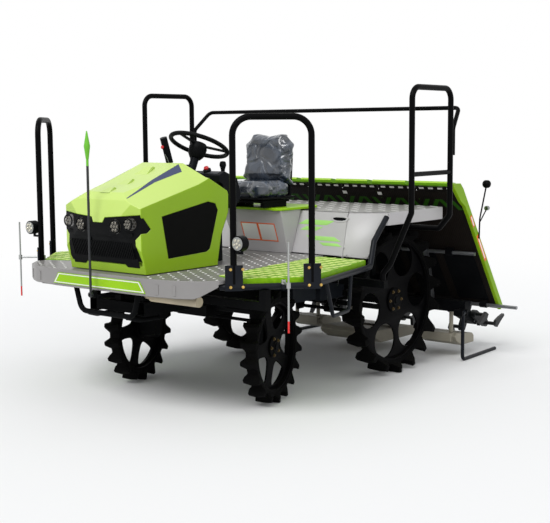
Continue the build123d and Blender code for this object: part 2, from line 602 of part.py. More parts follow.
# ---- Rear body and seat ----
def rear_body():
    """The deck shell with its rim, and the front face that leans back to the floor."""
    edge = [(BODY_TOP_X, BODY_FLAT_HALF), (BODY_CORNER_X, BODY_HALF), (BODY_REAR_X, BODY_HALF)]
    rim_z = BODY_TOP - BODY_SKIRT
    deck = plan_prism(mirrored(edge), (rim_z, BODY_TOP))
    inner = [(x - BODY_WALL, y - BODY_WALL / 2) for x, y in edge[:2]]
    inner.append((BODY_REAR_X + BODY_WALL, BODY_HALF - BODY_WALL))
    inner[1] = (BODY_CORNER_X - 4, BODY_HALF - BODY_WALL)
    deck -= plan_prism(mirrored(inner), (rim_z - 1, BODY_TOP - BODY_WALL))
    foot = [(BODY_FOOT_X, BODY_FLAT_HALF), (BODY_FOOT_X + 12, BODY_HALF - 5)]
    head = [(BODY_TOP_X, BODY_FLAT_HALF), (BODY_CORNER_X, BODY_HALF)]
    outlines = []
    for line, z in ((foot, FLOOR_TOP + 2 + GAP), (head, BODY_TOP - 3)):
        back = [(x - BODY_WALL, y) for x, y in reversed(line)]
        left = [*line, *back]
        right = [(x, -y) for x, y in left]
        ring = [right[1], right[0], left[0], left[1], left[2], left[3], right[3], right[2]]
        outlines.append(Plane.XY.offset(z) * make_face(Polyline(*ring, close=True)))
    return deck + loft(outlines, ruled=True)


def seat_box():
    """The hollow box under the seat, its front leaning forwards over the floor."""
    def level(corner, z, inset):
        rear, front, half = corner
        low = rear + inset
        outline = [(low, -half + inset), (front - inset, -half + inset), (front - inset, half - inset),
                   (low, half - inset)]
        return Plane.XY.offset(z) * make_face(Polyline(*outline, close=True))
    low, high = FLOOR_TOP + GAP, SEAT_PLATE_Z[0] - GAP
    outer = loft([level(SEAT_BOX_FOOT, low, 0), level(SEAT_BOX_TOP, high, 0)], ruled=True)
    floor_level = level(SEAT_BOX_FOOT, low - 0.5, BODY_WALL)
    inner = loft([floor_level, level(SEAT_BOX_TOP, high - BODY_WALL, BODY_WALL)], ruled=True)
    return outer - inner


def seat_plate():
    plate = block(SEAT_PLATE_X, (-SEAT_PLATE_HALF, SEAT_PLATE_HALF), SEAT_PLATE_Z)
    return fillet(plate.edges().filter_by(Axis.Z), 60.0)


def back_x(z):
    """X of the backrest's rear face at a height."""
    share = (z - BACK_Z[0]) / (BACK_Z[1] - BACK_Z[0])
    return BACK_FOOT[0] + (BACK_HEAD[0] - BACK_FOOT[0]) * share


def seat_base():
    """The slide rails and the pan under the cushion, with the arm that carries the backrest."""
    low = SEAT_PLATE_Z[1] + GAP
    rails = both(block((520.0, 740.0), (120.0, 150.0), (low, low + 34)))
    frame = block((505.0, 760.0), (-160.0, 160.0), (low + 30, low + 46))
    pan = block((CUSHION_X[0] - 20, 800.0), (-190.0, 190.0), (SEAT_BASE_TOP - 12, SEAT_BASE_TOP))
    legs = both(block((560.0, 600.0), (110.0, 140.0), (low + 40, SEAT_BASE_TOP - 5)))
    legs += both(block((700.0, 740.0), (110.0, 140.0), (low + 40, SEAT_BASE_TOP - 5)))
    root, tip = back_x(BACK_Z[0]) - 0.4, back_x(1420.0) - 0.4
    top = SEAT_BASE_TOP
    outline = [(root - 14, top - 12), (root + 10, top - 12), (root + 10, top), (root + 2, top + 8),
               (root, BACK_Z[0]), (tip, 1420.0), (tip - 14, 1420.0)]
    return rails + frame + pan + legs + both(side_prism(outline, (110.0, 150.0)))


def seat_cushion():
    cushion = block(CUSHION_X, (-CUSHION_HALF, CUSHION_HALF), CUSHION_Z)
    return fillet(cushion.edges().filter_by(Axis.Z), 70.0)


def seat_back():
    low, high = BACK_Z
    gap = 4.0
    outline = [(CUSHION_X[0] - gap, low), (CUSHION_X[0] - gap, CUSHION_Z[1] + gap),
               (BACK_FOOT[1], CUSHION_Z[1] + gap), (BACK_HEAD[1], high), (BACK_HEAD[0], high),
               (BACK_FOOT[0], low)]
    slab = side_prism(outline, (-BACK_HALF, BACK_HALF))
    corner = 70.0
    edge = [(-BACK_HALF, low), (BACK_HALF, low), (BACK_HALF, high - corner),
            (BACK_HALF - corner, high), (-BACK_HALF + corner, high), (-BACK_HALF, high - corner)]
    return slab & front_prism(edge, (BACK_HEAD[0] - 10, BACK_FOOT[1] + 10))


# ---- Hood ----
def hood_form(inset):
    """The hood as a full solid, or the space inside its wall when inset is the wall's thickness."""
    half = HOOD_HALF - inset
    nose = max(x for x, _ in HOOD_SIDE) + 6 - inset
    plan = [(1200.0, -half), (nose - NOSE_SWEEP, -half), (nose - 12, -half * 0.52), (nose, 0.0),
            (nose - 12, half * 0.52), (nose - NOSE_SWEEP, half), (1200.0, half)]
    plane = Plane(origin=(0, half, 0), x_dir=(1, 0, 0), z_dir=(0, -1, 0))
    body = extrude(plane * hood_side(inset), 2 * half) & plan_prism(plan, (HOOD_BASE - 10, 1420.0))
    return body - hood_shoulders(inset)


def hood_side(inset):
    """The side outline, or the space inside it, which is open below and behind."""
    face = make_face(Polyline(*HOOD_SIDE, close=True))
    if inset:
        low, nose, rear = HOOD_BASE - 10, HOOD_SIDE[0][0] - inset - 2, HOOD_SIDE[-6:]
        base = [(rear[-1][0], low), (nose, low), (nose, HOOD_BASE + 2 * inset),
                (rear[-1][0], HOOD_BASE + 2 * inset)]
        behind = [(1200.0, low), (1200.0, rear[1][1]), *[(x + 2 * inset, z) for x, z in rear[1:-1]],
                  (rear[-1][0] + 2 * inset, low)]
        face = offset(face, amount=-inset, kind=Kind.INTERSECTION)
        face = face + make_face(Polyline(*base, close=True)) + make_face(Polyline(*behind, close=True))
    return face


def hood_shoulders(inset):
    """What is cut away above the sloping shoulders, from the flat roof's edge to the side walls."""
    half, top = HOOD_HALF - inset, HOOD_SHOULDER - inset * 0.6
    cuts = []
    for side in (1, -1):
        faces = []
        for x, z_top, z_side in SHOULDERS:
            fall = (z_top - z_side) * 60.0 / (HOOD_HALF - HOOD_SHOULDER)
            corners = [(side * top, z_top - inset), (side * (half + 60), z_side - fall - inset),
                       (side * (half + 60), 1600.0), (side * top, 1600.0)]
            plane = Plane(origin=(x, 0, 0), x_dir=(0, 1, 0), z_dir=(1, 0, 0))
            faces.append(plane * make_face(Polyline(*corners, close=True)))
        cuts += [loft(pair, ruled=True) for pair in zip(faces, faces[1:])]
    return cuts


def mask_zone(grow):
    """The black grille's (y, z) outline, with the small notches under the brow, run through the nose."""
    half = [*reversed(MASK_NOTCH), *MASK_SIDE]
    face = make_face(Polyline(*half, *[(-y, z) for y, z in reversed(half)], close=True))
    if grow:
        face = offset(face, amount=grow, kind=Kind.INTERSECTION)
    front = extrude(Plane(origin=(1780, 0, 0), x_dir=(0, 1, 0), z_dir=(1, 0, 0)) * face, 220.0)
    return front & side_zone(MASK_FRONT, grow)


def side_zone(outline, grow):
    """An (x, z) outline, widened by grow, run across the whole hood."""
    face = make_face(Polyline(*outline, close=True))
    if grow:
        face = offset(face, amount=grow, kind=Kind.INTERSECTION)
    reach = HOOD_HALF + 5
    return extrude(Plane(origin=(0, reach, 0), x_dir=(1, 0, 0), z_dir=(0, -1, 0)) * face, 2 * reach)


def lamp_discs(extra):
    pieces = []
    for y, z, radius in LAMPS:
        for sign in (1, -1):
            front = LAMP_X[1] + 60 * (extra > 0)
            pieces.append(rod((LAMP_X[0], sign * y, z), (front, sign * y, z), radius + extra))
    return pieces


def hood_set():
    """The hood shell with its hinge lugs, the grille mask, the side screens and the lamps."""
    outer, inner = hood_form(0.0), hood_form(HOOD_WALL)
    wall = outer - inner
    mask = wall & mask_zone(0)
    screens = wall & side_zone(SCREEN, 0)
    shell = wall - mask_zone(GAP) - side_zone(SCREEN, GAP)
    # Slots in the roof's rear edge for the console's hinge ears.
    shell -= both(block((HINGE[0] - 60, HINGE[0] + HINGE_LUG + PASSING),
                        (DASH_HALF - HINGE_EAR - PASSING, DASH_HALF + PASSING),
                        (HINGE[1] - 40, HINGE[1] + 60)))
    lug = across(HINGE, (HINGE_Y[1] - 12, HOOD_HALF - 2), HINGE_LUG)
    lug -= across(HINGE, (HINGE_Y[0], HINGE_Y[1] + 1), HINGE_PIN + RUNNING)
    shell += both(lug)
    mask -= lamp_discs(GAP)
    lamps = [disc & outer for disc in lamp_discs(0.0)]
    return shell, mask, screens, lamps


# ---- Console and steering ----
def column_point(length):
    tilt = math.radians(COLUMN_TILT)
    x, y, z = WHEEL_CENTRE
    return (x + length * math.sin(tilt), y, z - length * math.cos(tilt))


def console():
    """The dash housing with the hood's hinge pins and the bored steering column."""
    body = side_prism(DASH_SIDE, (-DASH_HALF, DASH_HALF)) + side_prism(STEM_SIDE, (-STEM_HALF, STEM_HALF))
    body += both(bar_plate((1200.0, HINGE[1]), HINGE, 28.0, (DASH_HALF - HINGE_EAR, DASH_HALF)))
    body += both(across(HINGE, (DASH_HALF - 4, HINGE_Y[1]), HINGE_PIN))
    body += rod(column_point(44.0), column_point(COLUMN_LENGTH + 30), COLUMN)
    return body - rod(column_point(0.0), column_point(COLUMN_LENGTH), SPINDLE + RUNNING)


def steering_wheel():
    tilt = math.radians(COLUMN_TILT)
    plane = Plane(origin=WHEEL_CENTRE, x_dir=(0, 1, 0), z_dir=(-math.sin(tilt), 0, math.cos(tilt)))
    ring = plane * Torus(STEERING_RADIUS, STEERING_RIM)
    hub = plane * (Pos(0, 0, -8) * Cylinder(44.0, 34.0))
    wheel = ring + hub
    for angle in (0.0, 120.0, 240.0):
        reach = STEERING_RADIUS
        wheel += plane * (Rot(0, 0, angle) * (Pos(0, -reach / 2, -4) * Box(24.0, reach, 10.0)))
    return wheel + rod(column_point(0.0), column_point(COLUMN_LENGTH - 8), SPINDLE)


def control_levers():
    """The shift lever right of the wheel, the small lever left of it, and a knob on the dash."""
    pieces = [rod((1244.0, -120.0, 1250.0), (1276.0, -120.0, 1376.0), 8.0) + rod((1276.0, -120.0, 1370.0),
              (1326.0, -120.0, 1518.0), 21.0)]
    pieces.append(rod((1112.0, 150.0, 1287.0), (1110.0, 150.0, 1345.0), 6.0)
                  + knob((1110.0, 150.0, 1356.0), 18.0))
    cut = side_prism(DASH_SIDE, (-DASH_HALF, DASH_HALF))
    return [piece - cut for piece in pieces]


# ---- Small pieces under and beside the floor ----
def front_guard():
    """The bent tube under the nose, with its two arms back to the rails."""
    loop = [(1900.0, 270.0, SKIRT_BOTTOM + 60), (1900.0, 210.0, 565.0), (1900.0, -210.0, 565.0),
            (1900.0, -270.0, SKIRT_BOTTOM + 60)]
    guard = pipe(loop, 15.0, 60.0)
    arm = pipe([(1896.0, 150.0, 557.0), (1820.0, 170.0, 536.0), (1660.0, 190.0, 536.0)], 12.0, 60.0)
    pad = block((1635.0, 1700.0), (175.0, 205.0), (530.0, RAIL_BOTTOM - GAP))
    return guard + both(arm + pad)


def underfloor_boxes():
    """Battery box and tool box hung under the outriggers on the left."""
    battery_x = (WHEELBASE - 533.0, WHEELBASE - 310.0)
    battery = block(battery_x, (232.0, 450.0), (530.0, OUTRIGGER_Z[0] + 22))
    strap = block((battery_x[0] + 78.0, battery_x[1] - 75.0), (RAIL_Y + RAIL_WIDTH / 2 + GAP, 240.0),
                  (585.0, 620.0))
    tools = block((250.0, 500.0), (RAIL_Y + RAIL_WIDTH / 2 + GAP, 400.0), (500.0, OUTRIGGER_Z[0] - GAP))
    return [battery + strap, tools]


def silencer():
    body = rod((1800.0, 250.0, 672.0), (1800.0, 600.0, 672.0), 28.0)
    pipe_in = rod((1800.0, RAIL_Y + 18 + GAP, 672.0), (1800.0, 260.0, 672.0), 16.0)
    return body + pipe_in


def work_lamp():
    x, y = HOOP_FRONT
    edge = y + TUBE + GAP
    lamp = rod((1712.0, 830.0, 987.0), (1757.0, 830.0, 987.0), 40.0)
    arm = block((x - 6, x + 6), (edge, 836.0), (930.0, 942.0))
    return lamp + arm + block((x - 6, x + 6), (824.0, 836.0), (930.0, 960.0))


def front_plate():
    x = max(x for x, _ in FLOOR_EDGE) + GAP
    return front_prism([(-368.0, 715.0), (368.0, 715.0), (326.0, 776.0), (-326.0, 776.0)], (x, x + 5))


def front_pole():
    """The sighting pole in front of the nose, on its pin."""
    eye = rod((POLE_X - 8, 0, POLE_PIVOT_Z), (POLE_X + 8, 0, POLE_PIVOT_Z), 14.0)
    bar = rod((POLE_X, 0, POLE_PIVOT_Z + 8), (POLE_X, 0, POLE_TIP_Z + 2), POLE_ROD)
    knob = Pos(POLE_X, 0, POLE_TIP_Z + 34) * Cone(POLE_ROD + 1, POLE_TIP, 68.0)
    tip = Pos(POLE_X, 0, (POLE_TIP_Z + 68 + POLE_TOP) / 2) * Cone(POLE_TIP, 3.0, POLE_TOP - POLE_TIP_Z - 68)
    pin = rod((POLE_X - 30, 0, POLE_PIVOT_Z), (POLE_X + 30, 0, POLE_PIVOT_Z), POLE_PIN + RUNNING)
    return (eye + bar + knob + tip) - pin


# ---- Lift linkage ----
def link_end(pivot):
    return (pivot[0] + LINK_VECTOR[0], pivot[1] + LINK_VECTOR[1])


LOWER_END = link_end(LOWER_PIVOT)
UPPER_END = link_end(UPPER_PIVOT)


def toward(start, end, distance):
    """The (x, z) point that far from start towards end."""
    length = math.hypot(end[0] - start[0], end[1] - start[1])
    return tuple(start[i] + (end[i] - start[i]) * distance / length for i in (0, 1))


def bar_plate(start, end, depth, y):
    """A flat link with round ends."""
    length = math.hypot(end[0] - start[0], end[1] - start[1])
    nx = -(end[1] - start[1]) / length * depth / 2
    nz = (end[0] - start[0]) / length * depth / 2
    outline = [(start[0] + nx, start[1] + nz), (end[0] + nx, end[1] + nz),
               (end[0] - nx, end[1] - nz), (start[0] - nx, start[1] - nz)]
    return side_prism(outline, y) + across(start, y, depth / 2) + across(end, y, depth / 2)


def lower_link():
    y = (LOWER_LINK_Y - LINK / 2, LOWER_LINK_Y + LINK / 2)
    link = both(bar_plate(LOWER_PIVOT, LOWER_END, LOWER_DEPTH, y))
    link += across(toward(LOWER_END, LOWER_PIVOT, LINK_TIE), (-LOWER_LINK_Y, LOWER_LINK_Y), 18.0)
    for pivot in (LOWER_PIVOT, LOWER_END):
        link -= across(pivot, (-LOWER_LINK_Y - LINK, LOWER_LINK_Y + LINK), LINK_PIN + RUNNING)
    return link


def upper_link():
    y = (UPPER_LINK_Y - LINK / 2, UPPER_LINK_Y + LINK / 2)
    link = both(bar_plate(UPPER_PIVOT, UPPER_END, UPPER_DEPTH, y))
    link += across(RAM_EYE, (-UPPER_LINK_Y, UPPER_LINK_Y), RAM_PIN - 2)
    for pivot in (UPPER_PIVOT, UPPER_END):
        link -= across(pivot, (-UPPER_LINK_Y - LINK, UPPER_LINK_Y + LINK), LINK_PIN + RUNNING)
    return link


def ram_point(distance):
    x, z = toward(RAM_FOOT, RAM_EYE, distance)
    return (x, 0.0, z)


def ram_barrel():
    body = across(RAM_FOOT, (-20.0, 20.0), 26.0) + rod(ram_point(10.0), ram_point(RAM_REACH[1]), RAM_BARREL)
    body -= across(RAM_FOOT, (-40.0, 40.0), RAM_PIN + RUNNING)
    return body - rod(ram_point(RAM_REACH[0] + 6), ram_point(RAM_REACH[1] + 5), RAM_ROD + RUNNING)


def ram_rod():
    length = math.hypot(RAM_EYE[0] - RAM_FOOT[0], RAM_EYE[1] - RAM_FOOT[1])
    ring = RAM_PIN - 2 + OPEN_EYE
    body = rod(ram_point(RAM_REACH[0] + 14), ram_point(length - ring), RAM_ROD)
    body += across(RAM_EYE, (-22.0, 22.0), ring + 9)
    return body - across(RAM_EYE, (-40.0, 40.0), ring)


# ---- Planting unit ----
def unit_frame():
    """The cross beam with the masts for both pairs of links and the brackets of the stands."""
    half = BEAM_SIZE / 2
    x, z = BEAM
    pieces = [block((x - half, x + half), (-BEAM_HALF, BEAM_HALF), (z - half, z + half))]
    y = LOWER_LINK_Y + LINK / 2 + PASSING
    pieces.append(both(block((LOWER_END[0] - 24, LOWER_END[0] + 24), (y, y + LINK), (LOWER_END[1] - 18, z))))
    pieces.append(both(across(LOWER_END, (LOWER_LINK_Y - LINK / 2 - 4, y + 2), LINK_PIN)))
    y = UPPER_LINK_Y - LINK / 2 - PASSING
    front = UPPER_END[0] + 26
    pieces.append(both(block((x - half, front), (y - 12, y), (z, UPPER_END[1]))))
    pieces.append(both(block((UPPER_END[0] - 22, front), (y - 12, y), (z + 70, UPPER_END[1] + 22))))
    pieces.append(both(across(UPPER_END, (y - 2, UPPER_LINK_Y + LINK / 2 + 4), LINK_PIN)))
    for side in (1, -1):
        front = x + half
        near = STAND_Y - STAND_TUBE - PASSING - 6
        block_y = (side * (near - 24), side * near)
        pieces.append(block((front - 2, STAND_X + 37), block_y, (STAND_PIVOT_Z - 20, STAND_PIVOT_Z + 20)))
        for low, high in ((front, STAND_X - 23), (STAND_X + 23, STAND_X + 37)):
            pieces.append(block((low, high), (side * (near - 2), side * (STAND_Y + 16)),
                                (STAND_PIVOT_Z - 20, STAND_PIVOT_Z + 20)))
        pieces.append(rod((front + 2, side * STAND_Y, STAND_PIVOT_Z),
                          (STAND_X + 35, side * STAND_Y, STAND_PIVOT_Z), STAND_PIN))
    holes = both(rod((x, MARKER_HOLE_Y, z - half - 5), (x, MARKER_HOLE_Y, z + half + 5), MARKER_HOLE))
    return joined(pieces) - holes


def table_rails():
    """The two round bars that the table slides along, and the uprights under the high one."""
    x, z = BEAM[0], BEAM[1] + BEAM_SIZE / 2
    above = block((x - 300, x + 300), (-BEAM_HALF, BEAM_HALF), (z + GAP, z + 600))
    pieces = []
    for centre in (-UPRIGHT_Y, UPRIGHT_Y):
        upright = bar_plate((x + 6, z - 4), HIGH_GUIDE, 40.0, (centre - 12, centre + 12))
        hole = across(HIGH_GUIDE, (centre - 20, centre + 20), GUIDE + GAP)
        pieces.append((upright & above) - hole)
    pieces.append(across(HIGH_GUIDE, (-HIGH_GUIDE_HALF, HIGH_GUIDE_HALF), GUIDE))
    pieces.append(across(LOW_GUIDE, (-LOW_GUIDE_HALF, LOW_GUIDE_HALF), GUIDE))
    return pieces


def planting_cases():
    """The three drive cases behind the beam; each holds a rotor's shaft and the low guide bar."""
    rear = BEAM[0] - BEAM_SIZE / 2 - GAP
    x, z = ROTOR_AXIS
    outline = [(rear, 392.0), (rear - 30, 360.0), (x + 18, z + 44), (x - 30, z + 36), (x - 30, z - 36),
               (x + 18, z - 44), (rear, 330.0)]
    cases = []
    for y in CASE_Y:
        span = (y - CASE_HALF, y + CASE_HALF)
        case = side_prism(outline, span) + across(ROTOR_AXIS, span, 48.0)
        case += block((LOW_GUIDE[0] - 20, LOW_GUIDE[0] + 20), span, (290.0, LOW_GUIDE[1]))
        case -= across(LOW_GUIDE, (span[0] - 1, span[1] + 1), GUIDE + GAP)
        cases.append(case - across(ROTOR_AXIS, (span[0] - 1, span[1] + 1), ROTOR_SHAFT + RUNNING))
    return cases


def planting_rotors():
    """A through shaft in each case with a two-armed rotor at each end and a claw on every arm."""
    rotors = []
    x, z = ROTOR_AXIS
    for number, y in enumerate(CASE_Y):
        near = CASE_HALF + ROTOR_GAP
        rotor = across(ROTOR_AXIS, (y - near - ROTOR_THICK, y + near + ROTOR_THICK), ROTOR_SHAFT)
        for side in (1, -1):
            turn = 60.0 * number + (90.0 if side > 0 else 0.0)
            low, high = y + side * near, y + side * (near + ROTOR_THICK)
            row = y + side * ROW_PITCH / 2
            for arm in (turn, turn + 180.0):
                a = math.radians(arm)
                tip = (x + ROTOR_ARM * math.cos(a), z + ROTOR_ARM * math.sin(a))
                rotor += bar_plate(ROTOR_AXIS, tip, 56.0, (low, high))
                rotor += across(tip, (low, row + side * CLAW_WIDTH / 2), 13.0)
                claw = [(-18, 16), (22, 16), (44, -38), (74, -96), (60, -106), (16, -62), (-18, -20)]
                cos, sin = math.cos(a), math.sin(a)
                points = [(tip[0] + u * cos - v * sin, tip[1] + u * sin + v * cos) for u, v in claw]
                rotor += side_prism(points, (row - CLAW_WIDTH / 2, row + CLAW_WIDTH / 2))
        rotors.append(rotor)
    return rotors


def floats():
    """Three buoyant boards with upturned noses, and the struts that hang them from the beam."""
    low, high = FLOAT_Z
    pieces = []
    for half, centre, nose in FLOATS:
        outline = [(FLOAT_REAR, low), (nose - 90, low), (nose - 20, low + 38), (nose, high - 22),
                   (nose - 30, high), (FLOAT_REAR + 20, high - 25), (FLOAT_REAR, high - 45)]
        board = side_prism(outline, (centre - half, centre + half))
        # The strut ends stand on a raised pad.
        pad = block((BEAM[0] - 40, BEAM[0] + 40), (centre - half + 30, centre + half - 30), (high - 60, high))
        pieces.append(board + pad)
        reach = max(half - 60, 100.0)
        for y in (centre - reach, centre + reach):
            pieces.append(block(*around(BEAM[0], y, STRUT / 2), (high + GAP, BEAM[1] - BEAM_SIZE / 2 - GAP)))
    return pieces


def stand():
    """The left L-shaped parking stand, which swings outwards about its top pin."""
    eye = rod((STAND_X - 15, STAND_Y, STAND_PIVOT_Z), (STAND_X + 15, STAND_Y, STAND_PIVOT_Z), 16.0)
    leg = pipe([(STAND_X, STAND_Y, STAND_PIVOT_Z - 6), (STAND_X, STAND_Y, STAND_TUBE),
                (*STAND_FOOT, STAND_TUBE)], STAND_TUBE, 30.0)
    pin = rod((STAND_X - 40, STAND_Y, STAND_PIVOT_Z), (STAND_X + 40, STAND_Y, STAND_PIVOT_Z),
              STAND_PIN + RUNNING)
    return (eye + leg) - pin


# ---- Seedling table ----
TABLE_RUN = math.hypot(TABLE_HEAD[0] - TABLE_FOOT[0], TABLE_HEAD[1] - TABLE_FOOT[1])


def on_table(u, n):
    """The (x, z) point at u up the slope from the foot and n towards the seedlings."""
    ux, uz = (TABLE_HEAD[0] - TABLE_FOOT[0]) / TABLE_RUN, (TABLE_HEAD[1] - TABLE_FOOT[1]) / TABLE_RUN
    return (TABLE_FOOT[0] + u * ux - n * uz, TABLE_FOOT[1] + u * uz + n * ux)


def slope_prism(u, n, y):
    outline = [on_table(u[0], n[0]), on_table(u[1], n[0]), on_table(u[1], n[1]), on_table(u[0], n[1])]
    return side_prism(outline, y)


def from_table(point):
    """Where an (x, z) point lies on the table, as u up the slope and n towards the seedlings."""
    ux, uz = (TABLE_HEAD[0] - TABLE_FOOT[0]) / TABLE_RUN, (TABLE_HEAD[1] - TABLE_FOOT[1]) / TABLE_RUN
    dx, dz = point[0] - TABLE_FOOT[0], point[1] - TABLE_FOOT[1]
    return dx * ux + dz * uz, dz * ux - dx * uz


def seedling_table():
    """The sloping plate and the seven dividers that part its six lanes."""
    half = TABLE_HALF - TABLE_SIDE - GAP
    thick = DIVIDER / 2
    pieces = [slope_prism((0.0, TABLE_RUN), (-TABLE_FLANGE - TABLE_PLATE, -TABLE_FLANGE), (-half, half))]
    for lane in range(ROWS + 1):
        y = max(-half + thick, min(half - thick, (lane - ROWS / 2) * ROW_PITCH))
        pieces.append(slope_prism((0.0, TABLE_RUN), (GAP - TABLE_FLANGE, 0.0), (y - thick, y + thick)))
    return pieces


def table_shoes():
    """The bored shoes under the table that run on both guide bars."""
    shoes = []
    for guide, places in ((LOW_GUIDE, LOW_SHOE_Y), (HIGH_GUIDE, HIGH_SHOE_Y)):
        u, n = from_table(guide)
        reach = SHOE_RADIUS + 2
        for y in places:
            span = (y - SHOE / 2, y + SHOE / 2)
            shoe = slope_prism((u - reach, u + reach), (n, -TABLE_FLANGE - TABLE_PLATE - GAP), span)
            shoe += across(guide, span, SHOE_RADIUS)
            shoes.append(shoe - across(guide, (span[0] - 1, span[1] + 1), GUIDE + RUNNING))
    return shoes


def table_sides():
    """The green cheeks of the table, wider towards the top."""
    front = -TABLE_FLANGE - TABLE_PLATE - 4
    outline = [on_table(-6, 0), on_table(TABLE_RUN + 2, 0), (-272.0, 1213.0), (-180.0, 1214.0),
               (-186.0, 1192.0), (-282.0, 1092.0), (-330.0, 1062.0), on_table(TABLE_RUN - 200, front),
               on_table(-6, front)]
    return both(side_prism(outline, (TABLE_HALF - TABLE_SIDE, TABLE_HALF)))


def table_caps():
    """The moulded head of the table, one cap to a lane."""
    half = TABLE_HALF - TABLE_SIDE - GAP
    end = TABLE_RUN + GAP
    outline = [on_table(end, 0), *CAP_SIDE, on_table(end, -TABLE_FLANGE - TABLE_PLATE)]
    caps = []
    for lane in range(ROWS):
        low = max(-half, (lane - 3) * ROW_PITCH + 1.5)
        high = min(half, (lane - 2) * ROW_PITCH - 1.5)
        caps.append(side_prism(outline, (low, high)))
    return caps


def table_stalk():
    """The thin stalk on the left cheek with its round rubber head and a small lamp on an arm."""
    y = TABLE_HALF + 5.0 + GAP
    foot_x, foot_z = on_table(600.0, -24.0)
    foot, knee, head = (foot_x, y, foot_z), (foot_x - 6, y, foot_z + 130), (-594.0, y, 1195.0)
    lamp_x, lamp_z = -604.0, 1036.0
    stalk = pipe([foot, knee, head], 5.0, 40.0)
    arm = rod((foot_x - 12, y, foot_z + 112), (lamp_x, y, lamp_z), 4.0)
    lamp = rod((lamp_x - 12, y, lamp_z), (lamp_x + 12, y, lamp_z), 14.0)
    return stalk + knob(head, 26.0) + arm + lamp


# ---- Export, one file per node ----
os.makedirs("parts", exist_ok=True)
# (side, name of the side)
SIDES = ((1, "left"), (-1, "right"))
for side, name in SIDES:
    front = Pos(WHEELBASE, side * FRONT_TRACK / 2, FRONT_AXLE_Z)
    write(f"front_{name}_tyre", steered(front * tyre(FRONT_WHEEL), side))
    write(f"front_{name}_rim", steered(front * rim(FRONT_WHEEL), side))
    rear = Pos(0, side * REAR_TRACK / 2, REAR_AXLE_Z)
    write(f"rear_{name}_tyre", rear * tyre(REAR_WHEEL))
    write(f"rear_{name}_rim", rear * rim(REAR_WHEEL))

write("chassis_frame", *chassis_frame())
write("engine_block", block(ENGINE[0], (-ENGINE[1], ENGINE[1]), (OUTRIGGER_Z[1] + GAP, ENGINE[2])))
write("rear_axle_case", rear_axle_case())
write("front_axle_case", front_axle_case())
write("left_knuckle", steered(knuckle(), 1))
write("right_knuckle", steered(other_side(knuckle()), -1))
write("tie_rod", tie_rod())
write("floor", floor())
write("front_plate", front_plate())
write("side_steps", both(step()))
write("step_rails", both(step_rail()))
write("side_hoops", both(hoop()))
write("tall_frames", both(tall_frame()))
write("rear_rail", rear_rail())
write("rear_body", rear_body())
write("seat_box", seat_box())
write("seat_plate", seat_plate())
write("seat_base", seat_base())
write("seat_cushion", seat_cushion())
write("seat_back", seat_back())
shell, mask, screens, lamps = hood_set()
write("hood", shell)
write("grille_mask", mask)
write("hood_screens", screens)
write("head_lamps", *lamps)
write("console", console())
write("steering_wheel", steering_wheel())
write("control_levers", *control_levers())
write("front_guard", front_guard())
write("underfloor_boxes", *underfloor_boxes())
write("silencer", silencer())
write("work_lamps", both(work_lamp()))
write("front_pole", front_pole())
write("left_side_rod", side_rod())
write("right_side_rod", other_side(side_rod()))
write("lower_link", lower_link())
write("upper_link", upper_link())
write("ram_barrel", ram_barrel())
write("ram_rod", ram_rod())
write("unit_frame", unit_frame())
write("table_rails", *table_rails())
write("planting_cases", *planting_cases())
write("planting_rotors", *planting_rotors())
write("floats", *floats())
write("left_stand", stand())
write("right_stand", other_side(stand()))
write("seedling_table", *seedling_table())
write("table_shoes", *table_shoes())
write("table_sides", table_sides())
write("table_caps", *table_caps())
write("table_stalk", table_stalk())
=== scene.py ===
"""A six-row riding rice transplanter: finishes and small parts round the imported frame, in metres."""
import math

import bmesh
import bpy
from mathutils import Matrix, Vector
from mathutils.bvhtree import BVHTree


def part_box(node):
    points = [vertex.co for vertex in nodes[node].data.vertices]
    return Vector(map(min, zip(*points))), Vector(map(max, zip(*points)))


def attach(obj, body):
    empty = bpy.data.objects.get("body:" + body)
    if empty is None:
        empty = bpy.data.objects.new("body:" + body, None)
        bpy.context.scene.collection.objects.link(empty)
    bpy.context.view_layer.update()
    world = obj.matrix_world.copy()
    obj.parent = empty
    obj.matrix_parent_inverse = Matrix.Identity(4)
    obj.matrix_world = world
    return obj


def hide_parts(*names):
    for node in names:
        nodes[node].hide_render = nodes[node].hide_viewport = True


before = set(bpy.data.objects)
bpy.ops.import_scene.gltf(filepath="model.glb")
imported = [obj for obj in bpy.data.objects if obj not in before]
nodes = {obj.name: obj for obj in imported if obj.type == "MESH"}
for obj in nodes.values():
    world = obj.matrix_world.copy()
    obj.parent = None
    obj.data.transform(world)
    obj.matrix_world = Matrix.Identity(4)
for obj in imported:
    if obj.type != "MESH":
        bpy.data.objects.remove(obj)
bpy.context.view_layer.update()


# ---- Camera, light and ground ----
# The machine stands on a pale floor under plain soft light from above and from its left front.
# The camera stands off the left front corner, a little under a person's eye height.
def added(name, data):
    """An object that holds this data, in the scene."""
    thing = bpy.data.objects.new(name, data)
    bpy.context.scene.collection.objects.link(thing)
    return thing


EYE = (5.58735, 4.5819, 1.5611)
YAW, PITCH, ROLL = math.radians(219.591), math.radians(-6.703), math.radians(-0.382)
ahead = Vector((math.cos(YAW) * math.cos(PITCH), math.sin(YAW) * math.cos(PITCH), math.sin(PITCH)))
level = Vector((math.sin(YAW), -math.cos(YAW), 0.0))
upward = level.cross(ahead)
right = level * math.cos(ROLL) + upward * math.sin(ROLL)
up = upward * math.cos(ROLL) - level * math.sin(ROLL)
lens = bpy.data.cameras.new("camera")
lens.sensor_width = 36.0
lens.lens = 73.556
lens.clip_end = 200.0
camera = added("camera", lens)
camera.matrix_world = Matrix((right, up, -ahead)).transposed().to_4x4()
camera.matrix_world.translation = EYE
bpy.context.scene.camera = camera
bpy.context.scene.view_settings.view_transform = "Standard"


